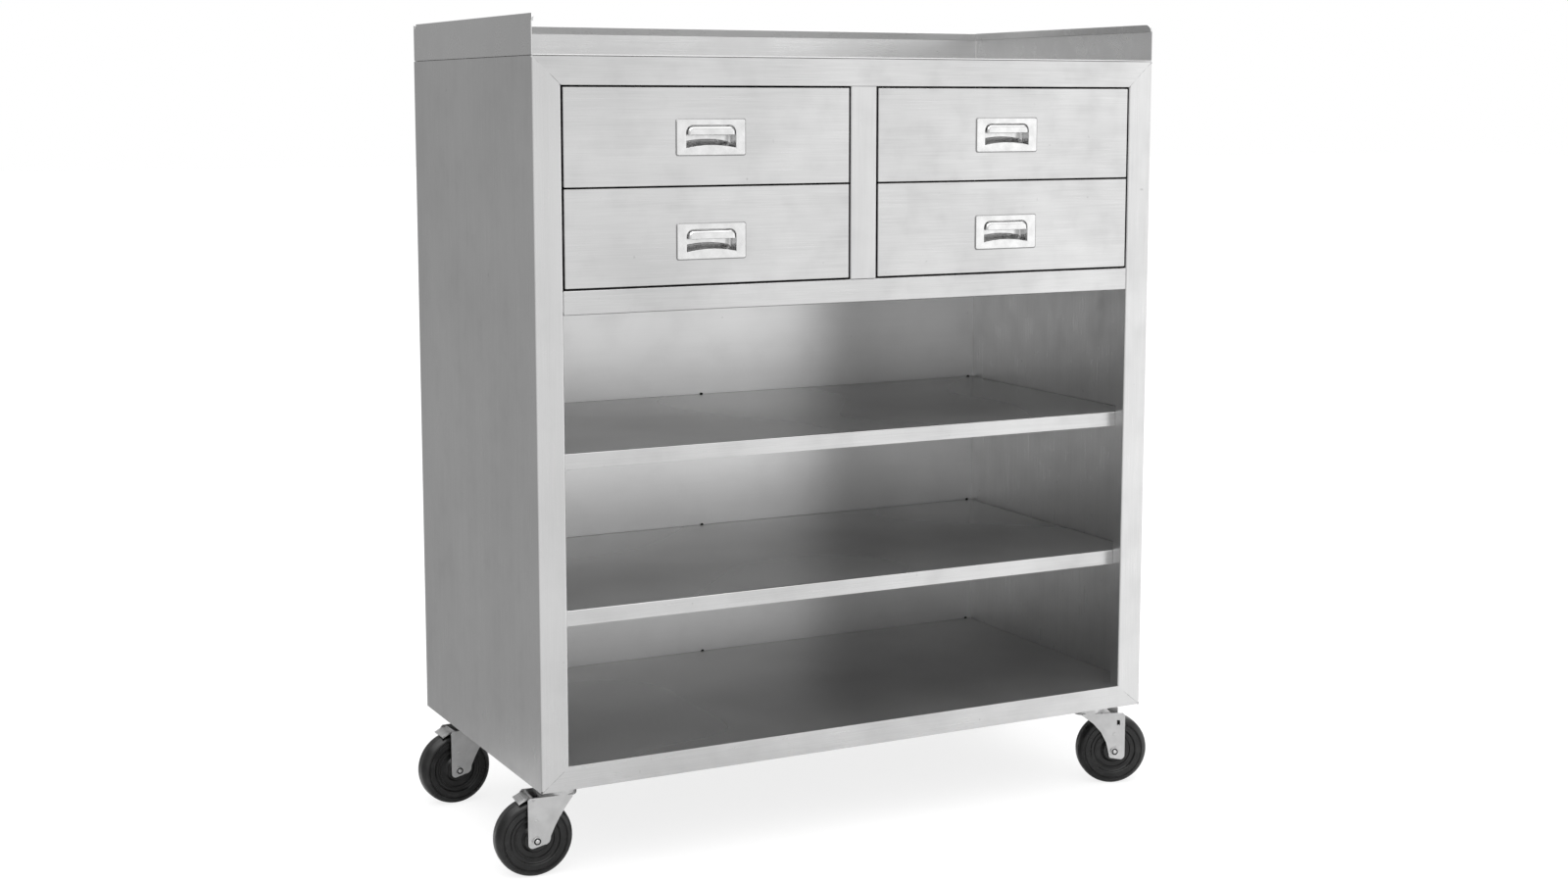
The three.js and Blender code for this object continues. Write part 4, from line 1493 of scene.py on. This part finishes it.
    def _pedal(self, castor: str, ribs: Workpiece) -> None:
        """Makes a castor's brake pedal.

        Args:
            castor: start of the castor's names.
            ribs: the pattern of the tread's ribs.
        """
        node = f"{castor}_brake_pedal"
        pedal = FoldedSheet(node, *self.pedal_folds)
        pedal.build(f"{node}_pressed").dress(self.palette.zinc).fix(f"{castor}_brake", Slot.ZINC, node)
        place = self._place(castor, "brake_pivot")
        ribs.copy(f"{castor}_pedal_ribs", place).fix(f"{castor}_brake", Slot.ZINC)

    def build(self) -> None:
        """Models each piece once and sets its copies in the four castors."""
        rack = SheetRack()
        wheel, axle, bolts, ring, ribs = (
            self._wheel(), self._axle(), self._bolts(), self._dust_ring(), self._pedal_ribs())
        forks = {side: self._fork(side) for side in SIDES}
        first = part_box("castor_front_left_plate")[0]
        for end, side in ((end, side) for end in ("front", "rear") for side in SIDES):
            castor = f"castor_{end}_{side}"
            plate, swivel, place = f"{castor}_plate", f"{castor}_swivel", self._place(castor)
            sheet = FoldedSheet(plate, *self.plate_folds)
            rack.take("plate", sheet, f"{plate}_pressed", self.palette.zinc).fix(CABINET, Slot.ZINC, plate)
            shift = Matrix.Translation(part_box(plate)[0] - first)
            bolts.copy(f"{plate}_bolts", shift).fix(CABINET, Slot.ZINC)
            pivot = Vector(self._joint(castor, "swivel")["pos_m"])
            pivot.z = 0
            ring.copy(f"{castor}_dust_ring", Matrix.Translation(pivot)).fix(CABINET, Slot.ZINC)
            forks[side].copy(f"{castor}_fork_pressed", place).fix(swivel, Slot.ZINC, f"{castor}_fork")
            head_in_front = place if side == "left" else place @ Matrix.Rotation(math.pi, ROWS, "Z")
            axle.copy(f"{castor}_axle_bolt", head_in_front).fix(swivel, Slot.ZINC, f"{castor}_axle")
            piece = wheel.copy(f"{castor}_wheel_moulded", place)
            piece.fix(f"{castor}_wheel", Slot.RUBBER, f"{castor}_wheel")
            if side == "left":
                self._pedal(castor, ribs)
        rack.clear()
        for pattern in (wheel, axle, bolts, ring, ribs, *forks.values()):
            pattern.scrap()


@dataclass
class Studio:
    """A pale floor lit from below like a light table, soft light all round, and the camera.

    Stops give a level of light for a share of a direction, and soft lights a place, a side and watts.
    """

    camera_place: Triple = (-1.37379, -2.68011, 0.96771)
    camera_azimuth: float = 27.13
    camera_pitch: float = -7.16
    lens: float = 50.24
    shift: float = -0.04
    floor_size: float = 60.0
    floor_colour: str = "#E8E8E8"
    floor_glow: float = 1.15
    floor_glow_share: float = 0.7
    mirror_reach: Pair = (0.5, 0.75)
    key_side: Triple = (0.8, -0.6, 0.0)
    side_stops: Profile = (
        (-1.0, 0.38), (-0.68, 0.41), (-0.1, 0.72), (0.72, 0.82), (0.84, 0.9), (0.9, 1.15), (0.96, 1.4))
    height_stops: Profile = ((0.14, 1.0), (0.5, 0.75))
    overhead: float = 1.6
    overhead_reach: Pair = (0.5, 0.9)
    aim: Triple = (0.0, 0.0, 0.5)
    key_light: tuple[Triple, float, float] = ((-1.5, -2.4, 3.2), 3.0, 34.0)
    rim_light: tuple[Triple, float, float] = ((2.4, 1.6, 2.6), 2.6, 30.0)

    def _floor(self) -> None:
        """Lays the matt white floor.

        The camera sees it glow, so that shadows stay faint. The metal mirrors the shaded floor under the
        cabinet, and past it the room.
        """
        material = bpy.data.materials.new("matt_white_floor")
        tree = empty_tree(material)
        matt = add_node(
            tree, "ShaderNodeBsdfDiffuse", {"Color": linear(self.floor_colour), "Roughness": 1.0})
        glow = add_node(tree, "ShaderNodeEmission", {"Strength": self.floor_glow})
        ray = add_node(tree, "ShaderNodeLightPath")
        seen = add_node(
            tree, "ShaderNodeMath", {"operation": "MULTIPLY", 1: self.floor_glow_share},
            {0: ray.outputs["Is Camera Ray"]})
        lit = add_node(tree, "ShaderNodeMixShader", links={0: seen, 1: matt, 2: glow})
        place = add_node(tree, "ShaderNodeTexCoord").outputs["Object"]
        away = add_node(tree, "ShaderNodeVectorMath", {"operation": "LENGTH"}, {0: place}).outputs["Value"]
        near, far = self.mirror_reach
        faded = add_node(tree, "ShaderNodeMapRange", {"From Min": near, "From Max": far}, {"Value": away})
        unseen = add_node(
            tree, "ShaderNodeMath", {"operation": "MULTIPLY"}, {0: faded, 1: ray.outputs["Is Glossy Ray"]})
        clear = add_node(tree, "ShaderNodeBsdfTransparent")
        both = add_node(tree, "ShaderNodeMixShader", links={0: unseen, 1: lit, 2: clear})
        add_node(tree, "ShaderNodeOutputMaterial", links={"Surface": both})
        floor = Workpiece.start("floor", bpy.ops.mesh.primitive_plane_add, size=self.floor_size)
        floor.dress(material)

    def _levels(self, tree: bpy.types.NodeTree, value: Socket, stops: Profile) -> bpy.types.Node:
        """Turns a share of a direction, from -1 to 1, into a level of light.

        Args:
            tree: the world's nodes.
            value: the share.
            stops: shares with their levels, in rising order.

        Returns:
            The node that gives the level.
        """
        share = add_node(tree, "ShaderNodeMapRange", {"From Min": -1.0, "From Max": 1.0}, {"Value": value})
        ramp = add_node(tree, "ShaderNodeValToRGB", links={"Fac": share})
        points, middle = ramp.color_ramp.elements, 0.5
        while len(points) < len(stops):
            points.new(middle)
        brightest = max(level for _, level in stops)
        for point, (place, level) in zip(points, stops):
            grey = level / brightest
            point.position = (1 + place) / 2
            point.color = (grey, grey, grey, 1.0)
        return add_node(tree, "ShaderNodeMath", {"operation": "MULTIPLY", 1: brightest}, {0: ramp})

    def _sky(self) -> None:
        """Makes the light of the room.

        It is bright in front and to the right, dim behind on the left and dimmer higher up, and a bright
        lamp hangs straight above.
        """
        world = bpy.context.scene.world = bpy.data.worlds.new("studio")
        tree, white = empty_tree(world), (1.0, 1.0, 1.0, 1.0)
        way = add_node(tree, "ShaderNodeTexCoord").outputs["Generated"]
        facing = add_node(
            tree, "ShaderNodeVectorMath", {"operation": "DOT_PRODUCT", 1: self.key_side}, {0: way}
        ).outputs["Value"]
        height = add_node(tree, "ShaderNodeSeparateXYZ", links={"Vector": way}).outputs["Z"]
        banded = add_node(tree, "ShaderNodeMath", {"operation": "MULTIPLY"}, {
            0: self._levels(tree, facing, self.side_stops),
            1: self._levels(tree, height, self.height_stops)})
        start, full = self.overhead_reach
        above = add_node(
            tree, "ShaderNodeMapRange",
            {"interpolation_type": "SMOOTHSTEP", "From Min": start, "From Max": full,
             "To Max": self.overhead},
            {"Value": height})
        level = add_node(tree, "ShaderNodeMath", {"operation": "ADD"}, {0: banded, 1: above})
        sky = add_node(tree, "ShaderNodeBackground", {"Color": white}, {"Strength": level})
        backdrop = add_node(tree, "ShaderNodeBackground", {"Color": white, "Strength": 1.0})
        seen = add_node(tree, "ShaderNodeLightPath").outputs["Is Camera Ray"]
        both = add_node(tree, "ShaderNodeMixShader", links={0: seen, 1: sky, 2: backdrop})
        add_node(tree, "ShaderNodeOutputWorld", links={"Surface": both})

    def _softbox(self, name: str, place: Triple, size: float, power: float) -> None:
        """Hangs a square soft light that is turned to the middle of the cabinet.

        Args:
            name: the light's name.
            place: where it hangs.
            size: its side.
            power: its power in watts.
        """
        light = bpy.data.lights.new(name, "AREA")
        light.shape, light.size, light.energy = "SQUARE", size, power
        lamp = bpy.data.objects.new(name, light)
        lamp.location = place
        lamp.rotation_mode = "QUATERNION"
        lamp.rotation_quaternion = (Vector(self.aim) - Vector(place)).to_track_quat("-Z", "Y")
        bpy.context.scene.collection.objects.link(lamp)

    def _camera(self) -> None:
        """Sets up the camera at the photograph's angle."""
        lens = bpy.data.cameras.new("camera")
        lens.lens, lens.shift_y = self.lens, self.shift
        camera = bpy.data.objects.new("camera", lens)
        camera.location = self.camera_place
        level = 90
        camera.rotation_euler = (
            math.radians(level + self.camera_pitch), 0, -math.radians(self.camera_azimuth))
        bpy.context.scene.collection.objects.link(camera)
        bpy.context.scene.camera = camera

    def build(self) -> None:
        """Makes the floor, light and camera."""
        self._floor()
        self._sky()
        self._softbox("key_light", *self.key_light)
        self._softbox("rim_light", *self.rim_light)
        self._camera()
        view = bpy.context.scene.view_settings
        view.view_transform, view.look = "Standard", "None"


def main() -> None:
    """Builds the studio, then every sub-assembly."""
    logging.basicConfig(level=logging.INFO, format="%(name)s: %(message)s")
    Studio().build()
    palette = Palette()
    Carcass(palette).build()
    Drawers(palette).build()
    Castors(palette).build()


if __name__ == "__main__":
    main()
